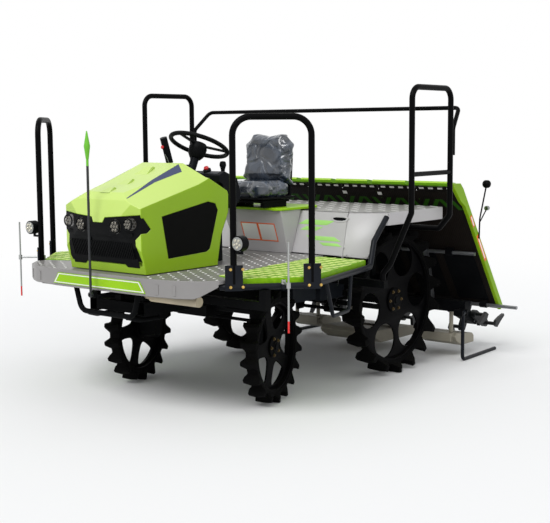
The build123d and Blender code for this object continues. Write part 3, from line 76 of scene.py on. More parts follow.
class Shade:
    """A socket of a material. An expression on it adds the Math nodes that work it out."""

    def __init__(self, tree, socket=None):
        self.tree = tree
        self.socket = socket

    def node(self, kind, settings=None, sockets=None, out=0):
        """Adds a node, its settings first, then the values or links of its sockets."""
        made = self.tree.nodes.new("ShaderNode" + kind)
        for name, value in (settings or {}).items():
            if name == "stops":
                ramp = made.color_ramp
                while len(ramp.elements) < len(value):
                    ramp.elements.new(0.5)
                for stop, (place, colour) in zip(ramp.elements, value):
                    stop.position = place
                    stop.color = (*colour, 1.0)
            else:
                setattr(made, name, value)
        for name, value in (sockets or {}).items():
            if isinstance(value, Shade):
                self.tree.links.new(value.socket, made.inputs[name])
            else:
                made.inputs[name].default_value = value
        return Shade(self.tree, made.outputs[out])

    def also(self, key):
        """Another output of the same node."""
        return Shade(self.tree, self.socket.node.outputs[key])

    def maths(self, operation, first, second=0.0, third=0.0):
        return self.node("Math", {"operation": operation}, {0: first, 1: second, 2: third})

    def __add__(self, other):
        return self.maths("ADD", self, other)

    __radd__ = __add__

    def __mul__(self, other):
        return self.maths("MULTIPLY", self, other)

    __rmul__ = __mul__

    def __sub__(self, other):
        return self.maths("SUBTRACT", self, other)

    def __rsub__(self, other):
        return self.maths("SUBTRACT", other, self)

    def __gt__(self, other):
        return self.maths("GREATER_THAN", self, other)

    def __lt__(self, other):
        return self.maths("LESS_THAN", self, other)

    def over(self, low, high):
        """0 below low and 1 above high, smoothly between them."""
        names = {"Value": self, "From Min": low, "From Max": high}
        return self.node("MapRange", {"interpolation_type": "SMOOTHSTEP"}, names)

    def mix(self, first, second):
        """Between two colours, by this value."""
        return self.node("Mix", {"data_type": "RGBA"}, {0: self, 6: first, 7: second}, out=2)


def colour(code, light=1.0):
    """The linear colour of a hex code as seen, made lighter or darker."""
    parts = [int(code[i:i + 2], 16) / 255.0 for i in (0, 2, 4)]
    return tuple(light * (c / 12.92 if c < 0.04045 else ((c + 0.055) / 1.055) ** 2.4) for c in parts) + (1.0,)


def new_material(name):
    """An empty material, its nodes to come, and the place on the piece that they start from."""
    material = bpy.data.materials.new(name)
    material.use_nodes = True
    material.node_tree.nodes.clear()
    shade = Shade(material.node_tree)
    return material, shade, shade.node("TexCoord", out=3)


def cover(shader, kind="Material"):
    """Makes this shader what its material, or the world, shows."""
    end = shader.tree.nodes.new("ShaderNodeOutput" + kind)
    shader.tree.links.new(shader.socket, end.inputs[0])


# how far out the floor starts to fade into the white round it, and where it has, in metres
FLOOR_NEAR, FLOOR_FAR = 2.6, 7.5
FLOOR_RADIUS = 60.0
material, shade, place = new_material("pale_floor")
distance = shade.node("VectorMath", {"operation": "LENGTH"}, {0: place}, out=1)
plain = shade.node("BsdfDiffuse", sockets={"Color": (0.84, 0.84, 0.84, 1.0)})
white = shade.node("Emission", sockets={"Color": (1.0, 1.0, 1.0, 1.0), "Strength": 1.0})
cover(shade.node("MixShader", sockets={0: distance.over(FLOOR_NEAR, FLOOR_FAR), 1: plain, 2: white}))
bm = bmesh.new()
bmesh.ops.create_circle(bm, cap_ends=True, segments=96, radius=FLOOR_RADIUS)
mesh = bpy.data.meshes.new("ground")
bm.to_mesh(mesh)
bm.free()
mesh.materials.append(material)
added("ground", mesh)

world = bpy.data.worlds.new("world")
bpy.context.scene.world = world
world.use_nodes = True
world.node_tree.nodes.clear()
shade = Shade(world.node_tree)
rays = shade.node("LightPath")
seen = rays.maths("MAXIMUM", rays, rays.also("Is Glossy Ray"))
seen = rays.maths("MAXIMUM", seen, rays.also("Is Transmission Ray"))
glow = seen.mix((0.53, 0.54, 0.55, 1.0), (1.0, 1.0, 1.0, 1.0))
cover(shade.node("Background", sockets={"Color": glow, "Strength": 1.0}), "World")
# (name, strength, angular size in degrees, tilt from straight down about X and Z)
SUNS = (("key", 2.05, 28.0, (42.0, 99.0)), ("fill", 0.62, 60.0, (52.0, 158.0)))
for name, strength, size, (tilt, turn) in SUNS:
    sun = bpy.data.lights.new(name, "SUN")
    sun.energy = strength
    sun.angle = math.radians(size)
    added(name, sun).rotation_euler = (math.radians(tilt), 0.0, math.radians(turn))


def at(x, y, z):
    """A place in millimetres forward of the rear axle, left of the middle and above the ground."""
    return Vector(((x - 408.95) / 1000.0, y / 1000.0, z / 1000.0))


def finish(name, code, rough=0.42, metal=0.0, coat=0.0, grain=0.25, dust=0.06, mottle=0.10, size=60.0,
           shine=0.35, top="", way=(0.0, 0.0, 1.0)):
    """Paint, moulded plastic or plate: a little uneven, finely grained, and dusty where it faces up.
    Top is painted light or shade: faces that look up, or along another way, are drawn in that colour."""
    material, shade, place = new_material(name)
    looks = shade.node("TexCoord", out=1)
    broad = shade.node("TexNoise", sockets={"Vector": place, "Scale": 3.2, "Detail": 3.0})
    fine = shade.node("TexNoise", sockets={"Vector": place, "Scale": size, "Detail": 3.0})
    facing = shade.node("SeparateXYZ", sockets={0: looks}, out=2)
    shown = broad.over(0.32, 0.68).mix(colour(code, 1.0 - mottle), colour(code, 1.0 + mottle))
    # Painted light or shade: faces turned along the way are drawn in the top colour.
    if top:
        light_facing = shade.node("VectorMath", {"operation": "DOT_PRODUCT"}, {0: looks, 1: way}, out=1)
        shown = light_facing.over(0.25, 0.85).mix(shown, colour(top))
    settled = facing.over(0.55, 1.0) * fine.over(0.35, 0.7) * dust
    shown = settled.mix(shown, colour("a39c8c"))
    bump = shade.node("Bump", sockets={"Strength": grain, "Distance": 0.0006, "Height": fine})
    names = {"Base Color": shown, "Roughness": broad * 0.16 + settled * 0.5 + (rough - 0.08),
             "Metallic": metal, "Coat Weight": coat, "Coat Roughness": 0.12, "Normal": bump,
             "Specular IOR Level": shine}
    cover(shade.node("BsdfPrincipled", sockets=names))
    return material


MERGED = 0.00002     # points nearer than this become one


def opened(*meshes):
    """These meshes together, ready to be worked on."""
    bm = bmesh.new()
    for mesh in meshes:
        bm.from_mesh(mesh)
    return bm


def settle(bm, name, crease=32.0):
    """The mesh of bm, its points merged, its faces outwards, smooth but for its sharp edges."""
    bmesh.ops.remove_doubles(bm, verts=bm.verts, dist=MERGED)
    bmesh.ops.dissolve_degenerate(bm, edges=bm.edges, dist=0.00001)
    bmesh.ops.recalc_face_normals(bm, faces=bm.faces)
    for face in bm.faces:
        face.smooth = True
    for edge in bm.edges:
        edge.smooth = len(edge.link_faces) == 2 and edge.calc_face_angle(0.0) < math.radians(crease)
    mesh = bpy.data.meshes.new(name)
    bm.to_mesh(mesh)
    bm.free()
    return mesh


def put(name, mesh, material, body, *stands_for):
    """A finished piece in its place, on its body, shown instead of the CAD nodes it stands for."""
    mesh.materials.clear()
    mesh.materials.append(material)
    piece = added(name, mesh)
    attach(piece, body)
    if stands_for:
        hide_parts(*stands_for)
    return piece


def eased(node, body, material, width=0.0, crease=32.0):
    """The CAD node's shape with its points merged and its sharp edges rounded."""
    bm = opened(nodes[node].data)
    bmesh.ops.remove_doubles(bm, verts=bm.verts, dist=MERGED)
    bmesh.ops.dissolve_limit(bm, angle_limit=math.radians(0.6), verts=bm.verts, edges=bm.edges)
    piece = put(node + "_finished", settle(bm, node, crease), material, body, node)
    if width:
        bevel = piece.modifiers.new("rounding", "BEVEL")
        bevel.width = width
        bevel.segments = 2
        bevel.limit_method = "ANGLE"
        bevel.angle_limit = math.radians(crease)
        bevel.use_clamp_overlap = False
        bevel.harden_normals = True
        bevel.loop_slide = False
    return piece


def dress(material, *names):
    """Gives CAD nodes that are right as they are their real finish."""
    for name in names:
        for place in nodes[name].material_slots:
            place.link = "OBJECT"
            place.material = material


def block(low, high):
    """A plain box between two corners, for shapes that are set out many times."""
    bm = bmesh.new()
    bmesh.ops.create_cube(bm, size=1.0)
    for vert in bm.verts:
        vert.co = [low[i] + (vert.co[i] + 0.5) * (high[i] - low[i]) for i in range(3)]
    return settle(bm, "block")


def turned(profile, steps=24, crease=32.0):
    """A shape turned about Z from (radius, height) points, open at the axis or closed."""
    bm = bmesh.new()
    rings = []
    for i in range(steps):
        c, s = math.cos(math.tau * i / steps), math.sin(math.tau * i / steps)
        rings.append([bm.verts.new((r * c, r * s, z)) for r, z in profile])
    for i in range(steps):
        here, there = rings[i], rings[(i + 1) % steps]
        for j in range(len(profile)):
            k = (j + 1) % len(profile)
            if profile[j][0] or profile[k][0]:
                bm.faces.new((here[j], there[j], there[k], here[k]))
    return settle(bm, "turned", crease)


def frame_on(normal, turn=0.0):
    """The rotation that stands Z on a normal, turned about it."""
    return Vector(normal).to_track_quat("Z", "Y").to_matrix() @ Matrix.Rotation(turn, 3, "Z")


def baked(holder):
    """The mesh that a curve, or an object with its modifiers, works out to."""
    bpy.context.view_layer.update()
    return bpy.data.meshes.new_from_object(holder.evaluated_get(bpy.context.evaluated_depsgraph_get()))


def used_up(holder):
    """What a holder works out to. The holder itself goes."""
    mesh = baked(holder)
    bpy.data.objects.remove(holder)
    return mesh


def set_out(name, shape, spots, material, body, spin=0.0):
    """A piece of one shape set out at every (place, rotation, size), each spun a little at random."""
    cloud = bpy.data.meshes.new(name + "_spots")
    cloud.from_pydata([spot[0] for spot in spots], [], [])
    for key, kind in (("turn", "FLOAT_VECTOR"), ("size", "FLOAT_VECTOR")):
        cloud.attributes.new(key, kind, "POINT")
    for i, (_, rotation, size) in enumerate(spots):
        cloud.attributes["turn"].data[i].vector = rotation.to_euler()
        cloud.attributes["size"].data[i].vector = size
    tree = bpy.data.node_groups.new(name + "_tree", "GeometryNodeTree")
    for key, way, kind in (("Spots", "INPUT", "Geometry"), ("Shape", "INPUT", "Object"),
                           ("Material", "INPUT", "Material"), ("Spin", "INPUT", "Float"),
                           ("Set", "OUTPUT", "Geometry")):
        tree.interface.new_socket(name=key, in_out=way, socket_type="NodeSocket" + kind)

    def add(kind, **settings):
        made = tree.nodes.new(kind)
        for key, value in settings.items():
            setattr(made, key, value)
        return made

    start, end = add("NodeGroupInput"), add("NodeGroupOutput")
    info = add("GeometryNodeObjectInfo")
    turn = add("GeometryNodeInputNamedAttribute", data_type="FLOAT_VECTOR")
    turn.inputs["Name"].default_value = "turn"
    size = add("GeometryNodeInputNamedAttribute", data_type="FLOAT_VECTOR")
    size.inputs["Name"].default_value = "size"
    angle = add("FunctionNodeEulerToRotation")
    chance = add("FunctionNodeRandomValue", data_type="FLOAT")
    chance.inputs["Seed"].default_value = 11
    spun = add("ShaderNodeCombineXYZ")
    instances = add("GeometryNodeInstanceOnPoints")
    rotated = add("GeometryNodeRotateInstances")
    real = add("GeometryNodeRealizeInstances")
    painted = add("GeometryNodeSetMaterial")
    for source, target in (
            (start.outputs["Spots"], instances.inputs["Points"]),
            (start.outputs["Shape"], info.inputs["Object"]),
            (info.outputs["Geometry"], instances.inputs["Instance"]),
            (turn.outputs["Attribute"], angle.inputs[0]),
            (angle.outputs[0], instances.inputs["Rotation"]),
            (size.outputs["Attribute"], instances.inputs["Scale"]),
            (start.outputs["Spin"], chance.inputs[3]),
            (chance.outputs[1], spun.inputs[2]),
            (spun.outputs[0], rotated.inputs["Rotation"]),
            (instances.outputs[0], rotated.inputs[0]),
            (rotated.outputs[0], real.inputs[0]),
            (real.outputs[0], painted.inputs["Geometry"]),
            (start.outputs["Material"], painted.inputs["Material"]),
            (painted.outputs[0], end.inputs[0])):
        tree.links.new(source, target)
    sample = added(name + "_shape", shape)
    holder = added(name + "_holder", cloud)
    setting = holder.modifiers.new("set out", "NODES")
    setting.node_group = tree
    given = {"Shape": sample, "Material": material, "Spin": spin}
    for item in tree.interface.items_tree:
        if item.name in given:
            setting[item.identifier] = given[item.name]
    mesh = used_up(holder)
    bpy.data.objects.remove(sample)
    return put(name, mesh, material, body)


def bolt(across=0.013, head=0.007):
    """A hexagon bolt head on its washer, standing on Z = 0."""
    bm = bmesh.new()
    low = Matrix.Translation((0.0, 0.0, 0.001))
    bmesh.ops.create_cone(bm, cap_ends=True, segments=12, radius1=across * 0.82, radius2=across * 0.82,
                          depth=0.002, matrix=low)
    high = Matrix.Translation((0.0, 0.0, 0.002 + head / 2))
    bmesh.ops.create_cone(bm, cap_ends=True, segments=6, radius1=across * 0.58, radius2=across * 0.54,
                          depth=head, matrix=high)
    return settle(bm, "bolt")


chassis_paint = finish("chassis_black", "0a0b0c", rough=0.5, dust=0.02, grain=0.4, shine=0.03)
cast_paint = finish("cast_iron_black", "0b0c0d", rough=0.58, dust=0.02, grain=0.8, size=140.0, shine=0.04)
engine_paint = finish("engine_grey", "0f1011", rough=0.6, dust=0.03, grain=0.7, size=110.0, shine=0.05)
zinc = finish("zinc_plate", "8d8f92", rough=0.34, metal=0.9, dust=0.05, grain=0.2, mottle=0.14, size=300.0)
brass = finish("yellow_zinc", "c2a25a", rough=0.36, metal=0.85, dust=0.05, grain=0.2, mottle=0.2, size=300.0)
eased("chassis_frame", "chassis", chassis_paint, 0.002)
eased("engine_block", "chassis", engine_paint, 0.004)
eased("rear_axle_case", "chassis", cast_paint, 0.003)
eased("front_axle_case", "chassis", cast_paint, 0.003)
eased("front_guard", "chassis", chassis_paint)
low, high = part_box("engine_block")
FIN_PITCH = 0.026
fins = []
for side in (-1, 1):
    y = (high.y if side > 0 else low.y) - side * 0.001
    for i in range(int((high.x - low.x - 0.04) / FIN_PITCH)):
        x = low.x + 0.03 + FIN_PITCH * i
        middle = Vector((x, y, (low.z + high.z) / 2 - 0.02))
        fins.append((middle, Matrix.Identity(3), (0.006, 0.006, (high.z - low.z) * 0.45)))
set_out("engine_fins", block((-0.5, -0.5, -0.5), (0.5, 0.5, 0.5)), fins, engine_paint, "chassis")


# ---- Wheels ----
# Four solid rubber paddy tyres moulded round steel rims. Tall lugs grip the mud under the water.
# The pressed steel webs have large rounded openings so that mud falls through; bolts hold the hubs.
LUGS = 18
RUBBER = 26.0
rubber = finish("tyre_rubber", "090909", rough=0.7, dust=0.015, grain=0.6, mottle=0.2, size=90.0, shine=0.03)
rim_paint = finish("wheel_black", "060607", rough=0.45, dust=0.02, grain=0.3, shine=0.03)


def tyre(radius, lug, half, spread, foot, tip):
    """A tyre about Y, one lug straight down. Between foot and tip, shares of the pitch, a lug rises."""
    inner, outer = radius - lug - RUBBER, radius - lug
    low = [(0.94 * half, inner), (half, inner + 6), (half, outer - 8), (0.94 * half, outer - 2),
           (0.7 * half, outer), (0.0, outer + 1)]
    high = [(0.94 * half, inner), (half, inner + 6), (half + 1, inner + 14), (spread, outer + 0.25 * lug),
            (0.95 * spread, radius - 3), (0.0, radius)]
    low, high = [side + [(-y, r) for y, r in reversed(side[:-1])] for side in (low, high)]
    steps = (-0.5, -foot, -(foot + tip) / 2, -tip * 1.1, -tip * 0.7, 0.0,
             tip * 0.7, tip * 1.1, (foot + tip) / 2, foot)
    rises = (0.0, 0.02, 0.42, 0.86, 1.0, 1.0, 1.0, 0.86, 0.42, 0.02)
    bm = bmesh.new()
    rings = []
    for number in range(LUGS):
        for step, rise in zip(steps, rises):
            ring = []
            for (y0, r0), (y1, r1) in zip(low, high):
                y, r = y0 + rise * (y1 - y0), r0 + rise * (r1 - r0)
                lean = 0.10 * rise * abs(y) / spread
                angle = math.tau * (number + step + lean) / LUGS - math.pi / 2
                ring.append(bm.verts.new((r * math.cos(angle) / 1000, y / 1000, r * math.sin(angle) / 1000)))
            rings.append(ring)
    for i, ring in enumerate(rings):
        after = rings[(i + 1) % len(rings)]
        for j in range(len(ring)):
            k = (j + 1) % len(ring)
            bm.faces.new((ring[j], after[j], after[k], ring[k]))
    return settle(bm, "tyre", 38.0)


def plate(outlines, thick, rounding=0.0006, trims=3):
    """A flat plate on Z from closed outlines in metres, the first its edge and the rest holes."""
    curve = bpy.data.curves.new("plate", "CURVE")
    curve.dimensions = "2D"
    curve.fill_mode = "BOTH"
    curve.extrude = thick / 2 - rounding
    curve.bevel_depth = rounding
    curve.bevel_resolution = 1
    for outline in outlines:
        for _ in range(trims):
            cut = []
            for i, here in enumerate(outline):
                there = outline[(i + 1) % len(outline)]
                cut.append([0.75 * a + 0.25 * b for a, b in zip(here, there)])
                cut.append([0.25 * a + 0.75 * b for a, b in zip(here, there)])
            outline = cut
        line = curve.splines.new("POLY")
        line.points.add(len(outline) - 1)
        for point, (x, y) in zip(line.points, outline):
            point.co = (x, y, 0.0, 1.0)
        line.use_cyclic_u = True
    return settle(opened(used_up(added("plate", curve))), "plate")


def joined(name, *parts):
    """One mesh from (mesh, 4x4 place) parts."""
    bm = bmesh.new()
    for mesh, matrix in parts:
        count = len(bm.verts)
        bm.from_mesh(mesh)
        bm.verts.ensure_lookup_table()
        bmesh.ops.transform(bm, matrix=matrix, verts=bm.verts[count:])
    return settle(bm, name)


def fixed(name, shape, place, material, body):
    """A piece of one shape in its place."""
    return put(name, joined(name, (shape, place)), material, body)


def slot(bed, hub, spokes, angle):
    """A rounded opening between two straight spokes, its middle at this angle."""
    far, near = bed - 0.030, hub + 0.034
    outline = []
    for r, share in ((far, -1.0), (far + 0.004, -0.5), (far + 0.005, 0.0), (far + 0.004, 0.5), (far, 1.0),
                     (near + 0.02, 0.9), (near, 0.0), (near + 0.02, -0.9)):
        reach = (math.pi / spokes - math.asin(SPOKE_HALF / r)) * share
        outline.append((r * math.cos(angle + reach), r * math.sin(angle + reach)))
    return outline


def porthole(angle):
    """A nearly round opening of a rear wheel, its middle at this angle."""
    outline = []
    for k in range(16):
        r = OPENING_AT + OPENING * math.cos(math.tau * k / 16)
        across = 1.02 * OPENING * math.sin(math.tau * k / 16)
        outline.append((r * math.cos(angle) - across * math.sin(angle),
                        r * math.sin(angle) + across * math.cos(angle)))
    return outline


# (axle, its left and right wheel centres, turn about the kingpin,
#  radius, lug, half band, half lug, half rim, spokes, hub, half hub)
WHEELS = (
    ("front", ((1119.118, 523.593), (1170.882, -523.593)), 15.0,
     325.0, 42.0, 35.0, 52.0, 29.0, 5, 62.0, 27.0),
    ("rear", ((0.0, 607.5), (0.0, -607.5)), 0.0,
     468.0, 52.0, 28.0, 75.0, 22.0, 6, 78.0, 30.0),
)
LUG_FOOT, LUG_TIP = 0.36, 0.13      # half a lug's length at its foot and tip, as a share of the pitch
SPOKE_HALF = 0.036
OPENING, OPENING_AT = 0.112, 0.272   # radius of a rear wheel's openings, and their ring's
OPENING_TURN = math.radians(-22.0)
WEB = 0.010                          # how thick a wheel's web is
ROUND = 72                           # steps round a rim
FULL_SIZE = (1.0, 1.0, 1.0)
worn_brass = finish("worn_yellow_zinc", "5d4c2c", rough=0.5, metal=0.7, dust=0.1, grain=0.3, mottle=0.2)
for axle, centres, turn, radius, lug, half, spread, rim_half, spokes, hub, face in WHEELS:
    bed, wide, r, f = (radius - lug - RUBBER) / 1000, rim_half / 1000, hub / 1000, face / 1000
    for side, hand, (x, y) in zip((1, -1), ("left", "right"), centres):
        name = f"{axle}_{hand}_wheel"
        place = Matrix.Translation(at(x, y, radius)) @ Matrix.Rotation(math.radians(turn), 4, "Z")
        shape = tyre(radius, lug, half, spread, LUG_FOOT, LUG_TIP)
        shape.transform(place)
        put(name + "_lugged_tyre", shape, rubber, name, f"{axle}_{hand}_tyre")
        edge = bed * 0.985
        turns = [math.tau * i / ROUND for i in range(ROUND)]
        outlines = [[(edge * math.cos(angle), edge * math.sin(angle)) for angle in turns]]
        for number in range(spokes):
            angle = math.tau * (number + 0.5) / spokes
            if axle == "rear":
                outlines.append(porthole(angle + OPENING_TURN * side))
            else:
                outlines.append(slot(bed, r, spokes, angle))
        upright = place @ Matrix.Rotation(math.radians(-90.0 * side), 4, "X")
        ring = turned([(bed - 0.012, -wide), (bed, -wide), (bed, wide), (bed - 0.012, wide),
                       (bed - 0.014, 0.0)], ROUND)
        boss = turned([(0.0, -f), (r * 0.9, -f), (r, -f * 0.9), (r, f * 0.5), (r * 0.9, f * 0.62),
                       (r * 0.62, f * 0.7), (r * 0.5, f), (r * 0.30, f), (r * 0.26, f + 0.003),
                       (0.0, f + 0.003)], 32)
        whole = joined(name, (plate(outlines, WEB), upright), (ring, upright), (boss, upright))
        put(name + "_web", whole, rim_paint, name, f"{axle}_{hand}_rim")
        heads = []
        for number in range(spokes):
            angle = math.tau * number / spokes
            spot = Vector((r * 0.8 * math.cos(angle), r * 0.8 * math.sin(angle), f * 0.66))
            heads.append((upright @ spot, upright.to_3x3(), FULL_SIZE))
        set_out(name + "_bolts", bolt(), heads, worn_brass, name, spin=1.0)


# ---- Knuckles and tie rod ----
# Forged knuckles turn on the kingpins at the ends of the front axle. The tie rod joins their arms.
# All are black steel; the rod has machined eyes.
eased("left_knuckle", "left_knuckle", cast_paint, 0.002)
eased("right_knuckle", "right_knuckle", cast_paint, 0.002)
eased("tie_rod", "tie_rod", chassis_paint)


# ---- Floor and front plate ----
# The floor is one grey moulding with a deep skirt. Small raised studs keep boots from slipping.
# Short ribs stiffen the skirt, and a plain green plate with a pale edge is fixed across the front.
DOWN, REARWARD = (0.0, 0.0, -1.0), (-1.0, 0.0, 0.0)
ABOVE, AHEAD = 1900.0, 2200.0    # clear of the whole machine, where straight lines start, in mm
FLOOR_TOP = 795.0
NEAR = 1.0                       # how far off its height a surface may lie and still count, in mm


def met(*meshes):
    """What a straight line meets of these meshes."""
    bm = opened(*meshes)
    found = BVHTree.FromBMesh(bm)
    bm.free()
    return found


def over(*names):
    """What a straight line meets of these CAD nodes."""
    return met(*[nodes[name].data for name in names])


def tops(tree, xs, ys, height, margin=0.0):
    """The places of a grid, in millimetres, where the tree's top lies at this height all round."""
    found = []
    for x, y in ((x, y) for x in xs for y in ys):
        around = [(0, 0)] + [(margin * a, margin * b) for a, b in ((1, 0), (-1, 0), (0, 1), (0, -1))]
        drops = [tree.ray_cast(at(x + a, y + b, ABOVE), DOWN)[0] for a, b in around]
        if all(drop is not None and abs(drop.z * 1000 - height) < NEAR for drop in drops):
            found.append((x, y))
    return found


# The floor's upward faces are drawn a little darker: painted shade.
moulding = finish("grey_moulding", "868483", rough=0.36, dust=0.12, grain=0.18, mottle=0.04, size=220.0,
                  shine=0.3, top="7c7a79")
# The studs are drawn much paler than the floor round them.
stud_paint = finish("pale_stud", "cfcfcc", rough=0.34, dust=0.05, grain=0.15, mottle=0.06)
eased("floor", "chassis", moulding, 0.005)
seen = over("floor", "hood", "grille_mask", "console", "rear_body", "seat_box", "side_steps", "side_hoops",
            "step_rails", "front_plate")
STUD_PITCH, ROW_PITCH = 38, 55
FIRST_X, FIRST_Y = 420, -715
spots = []
for x, y in tops(seen, range(FIRST_X, 1960, STUD_PITCH), range(FIRST_Y, 757, ROW_PITCH), FLOOR_TOP, 16.0):
    if ((x - FIRST_X) // STUD_PITCH + (y - FIRST_Y) // ROW_PITCH) % 2 == 0:
        spots.append((at(x, y, FLOOR_TOP - 0.4), frame_on((0, 0, 1), math.radians(45)), FULL_SIZE))
stud = turned([(0.0, 0.0), (0.0085, 0.0), (0.0068, 0.0026), (0.0, 0.0034)], 8)
set_out("floor_studs", stud, spots, stud_paint, "chassis")
skirt = over("floor")
ribs = []
for y in (-640, -520, 442, 552):
    spot, normal, _, _ = skirt.ray_cast(at(AHEAD, y, 742.0), REARWARD)
    ribs.append((spot, frame_on(normal), FULL_SIZE))
rib = block((-0.009, -0.026, -0.002), (0.009, 0.026, 0.0035))
set_out("skirt_ribs", rib, ribs, moulding, "chassis")
signal_green = finish("bright_green", "8cbb18", rough=0.34, dust=0.02, grain=0.12, mottle=0.05, shine=0.15)
pale_trim = finish("pale_trim", "d9dbd3", rough=0.4, dust=0.1, grain=0.1, mottle=0.04)
dress(signal_green, "front_plate")
low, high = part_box("front_plate")
edge = [(-0.362, 0.004), (-0.322, 0.057), (0.322, 0.057), (0.362, 0.004)]
inner = [(-0.349, 0.009), (-0.317, 0.052), (0.317, 0.052), (0.349, 0.009)]
trim = plate([edge, inner], 0.0012, 0.0002, 0)
trim.transform(Matrix.Translation((high.x + 0.0001, 0.0, low.z))
               @ Matrix(((0, 0, 1), (1, 0, 0), (0, 1, 0))).to_4x4())
put("front_plate_edge", trim, pale_trim, "chassis")


# ---- Side steps and their rails ----
# Each step is a bright green moulded grating in a bent black tube. Pale ribs cross it both ways.
# The rails, brackets and hoops are bolted to the floor's edge.
STEP_TOP = 797.0
RIB_STEP = 4              # how finely a rib's length is found
SHORTEST_RIB = 24


def lines(tree, along, across, height, width, thick, axis):
    """Ribs over the tree's top along X or Y, each as long as the top at this height lets it be."""
    made = []
    for line in across:
        run = []
        for free in list(along) + [None]:
            hit = None
            if free is not None:
                x, y = (free, line) if axis == "x" else (line, free)
                hit = tree.ray_cast(at(x, y, ABOVE), DOWN)[0]
            if hit is not None and abs(hit.z * 1000 - height) < NEAR:
                run.append(free)
                continue
            if len(run) * RIB_STEP > SHORTEST_RIB:
                middle, length = (run[0] + run[-1]) / 2, (run[-1] - run[0] - 6) / 1000
                x, y = (middle, line) if axis == "x" else (line, middle)
                size = (length, width, thick) if axis == "x" else (width, length, thick)
                made.append((at(x, y, height), Matrix.Identity(3), size))
            run = []
    return made


material, shade, place = new_material("step_green")
parts = shade.node("SeparateXYZ", sockets={0: place})
facing = shade.node("SeparateXYZ", sockets={0: shade.node("TexCoord", out=1)}, out=2)
rows = shade.maths("SINE", parts * 420.0 + parts.also(1) * 420.0)
noise = shade.node("TexNoise", sockets={"Vector": place, "Scale": 40.0, "Detail": 3.0})
# Fine diagonal grooves over the step's top, also drawn darker in colour as painted shade in them.
shaded_groove = rows.over(-0.2, 0.5) * (facing > 0.8) * 0.3
tone = noise.over(0.3, 0.7).mix(colour("6fa10c"), colour("7db010"))
tone = shaded_groove.mix(tone, colour("4f7d06"))
bump = shade.node("Bump", sockets={"Strength": 0.3, "Distance": 0.001, "Height": noise - shaded_groove})
cover(shade.node("BsdfPrincipled", sockets={
    "Base Color": tone, "Roughness": noise * 0.2 + 0.36, "Specular IOR Level": 0.12, "Normal": bump}))
step_green = material
rib_green = finish("step_rib", "dcea92", rough=0.45, dust=0.02, grain=0.2, mottle=0.05, shine=0.15)
eased("side_steps", "chassis", step_green, 0.003)
seen = over("side_steps", "side_hoops", "step_rails", "rear_body", "tall_frames", "floor")
RIB_PITCH = 68
outwards = list(range(-1080, -440, RIB_STEP)) + list(range(440, 1080, RIB_STEP))
spots = lines(seen, outwards, range(556, 1740, RIB_PITCH), STEP_TOP, 0.0125, 0.003, "y")
lengthwise = [side * y for y in range(478, 1060, RIB_PITCH) for side in (-1, 1)]
spots += lines(seen, range(540, 1740, RIB_STEP), lengthwise, STEP_TOP, 0.0105, 0.0036, "x")
set_out("step_ribs", block((-0.5, -0.5, 0.0), (0.5, 0.5, 0.5)), spots, rib_green, "chassis")
tube_black = finish("tube_black", "060607", rough=0.34, dust=0.01, grain=0.12, mottle=0.12, shine=0.04)
low_tube = finish("step_tube", "11141a", rough=0.36, dust=0.02, grain=0.15, mottle=0.12, shine=0.12)
eased("step_rails", "chassis", low_tube)


# ---- Hoops, tall frames, rear rail and work lamps ----
# Bent steel tube sprayed gloss black: two hoops to hold on to, two tall frames for spare trays, and
# a rail between them. Yellow-plated bolts hold their folded brackets. Each work lamp has its own arm.
eased("side_hoops", "chassis", tube_black)
eased("tall_frames", "chassis", tube_black)
eased("rear_rail", "chassis", tube_black)
hoops = over("side_hoops", "step_rails")
spots = []
for side in (-1, 1):
    # forward and height of the four bolts on the outer face of each bracket
    for x, z in ((bracket + dx, z) for bracket in (1698, 1388) for z in (850, 758) for dx in (0, 48)):
        hit, normal, _, _ = hoops.ray_cast(at(x, side * 1300.0, z), (0.0, -side, 0.0))
        if hit is not None and abs(hit.y) > 0.70:
            spots.append((hit, frame_on(normal), (0.72, 0.72, 0.8)))
set_out("hoop_bolts", bolt(), spots, brass, "chassis", spin=1.0)
lamp_shell = finish("lamp_shell", "0b0c0e", rough=0.4, dust=0.02, grain=0.2, shine=0.05)
lamp_glass = finish("lamp_glass", "8d8f8c", rough=0.14, metal=0.25, dust=0.05, grain=0.5, mottle=0.2,
                    coat=1.0, size=90.0)
eased("work_lamps", "chassis", lamp_shell, 0.0015)
face = turned([(0.0, 0.0), (0.0345, 0.0), (0.0345, 0.0025), (0.030, 0.0042), (0.016, 0.0055),
               (0.0, 0.006)], 28)
cell = turned([(0.0, 0.004), (0.0082, 0.004), (0.0082, 0.0066), (0.0066, 0.0084), (0.0, 0.0092)], 12)
chrome = finish("lamp_reflector", "bdb9a8", rough=0.2, metal=0.7, dust=0.0, grain=0.15, mottle=0.1, coat=0.6)
for side, name in ((-1, "right"), (1, "left")):
    forward = Matrix.Translation(at(1757.0, side * 830.0, 987.0)) @ Matrix.Rotation(math.pi / 2, 4, "Y")
    fixed(f"{name}_work_lamp_lens", face, forward, lamp_glass, "chassis")
    places = [(0.019 * math.cos(math.tau * k / 5), 0.019 * math.sin(math.tau * k / 5), 0.0) for k in range(5)]
    cells = [(forward @ Vector(spot), forward.to_3x3(), FULL_SIZE) for spot in places + [(0.0, 0.0, 0.0006)]]
    set_out(f"{name}_work_lamp_cells", cell, cells, chrome, "chassis")
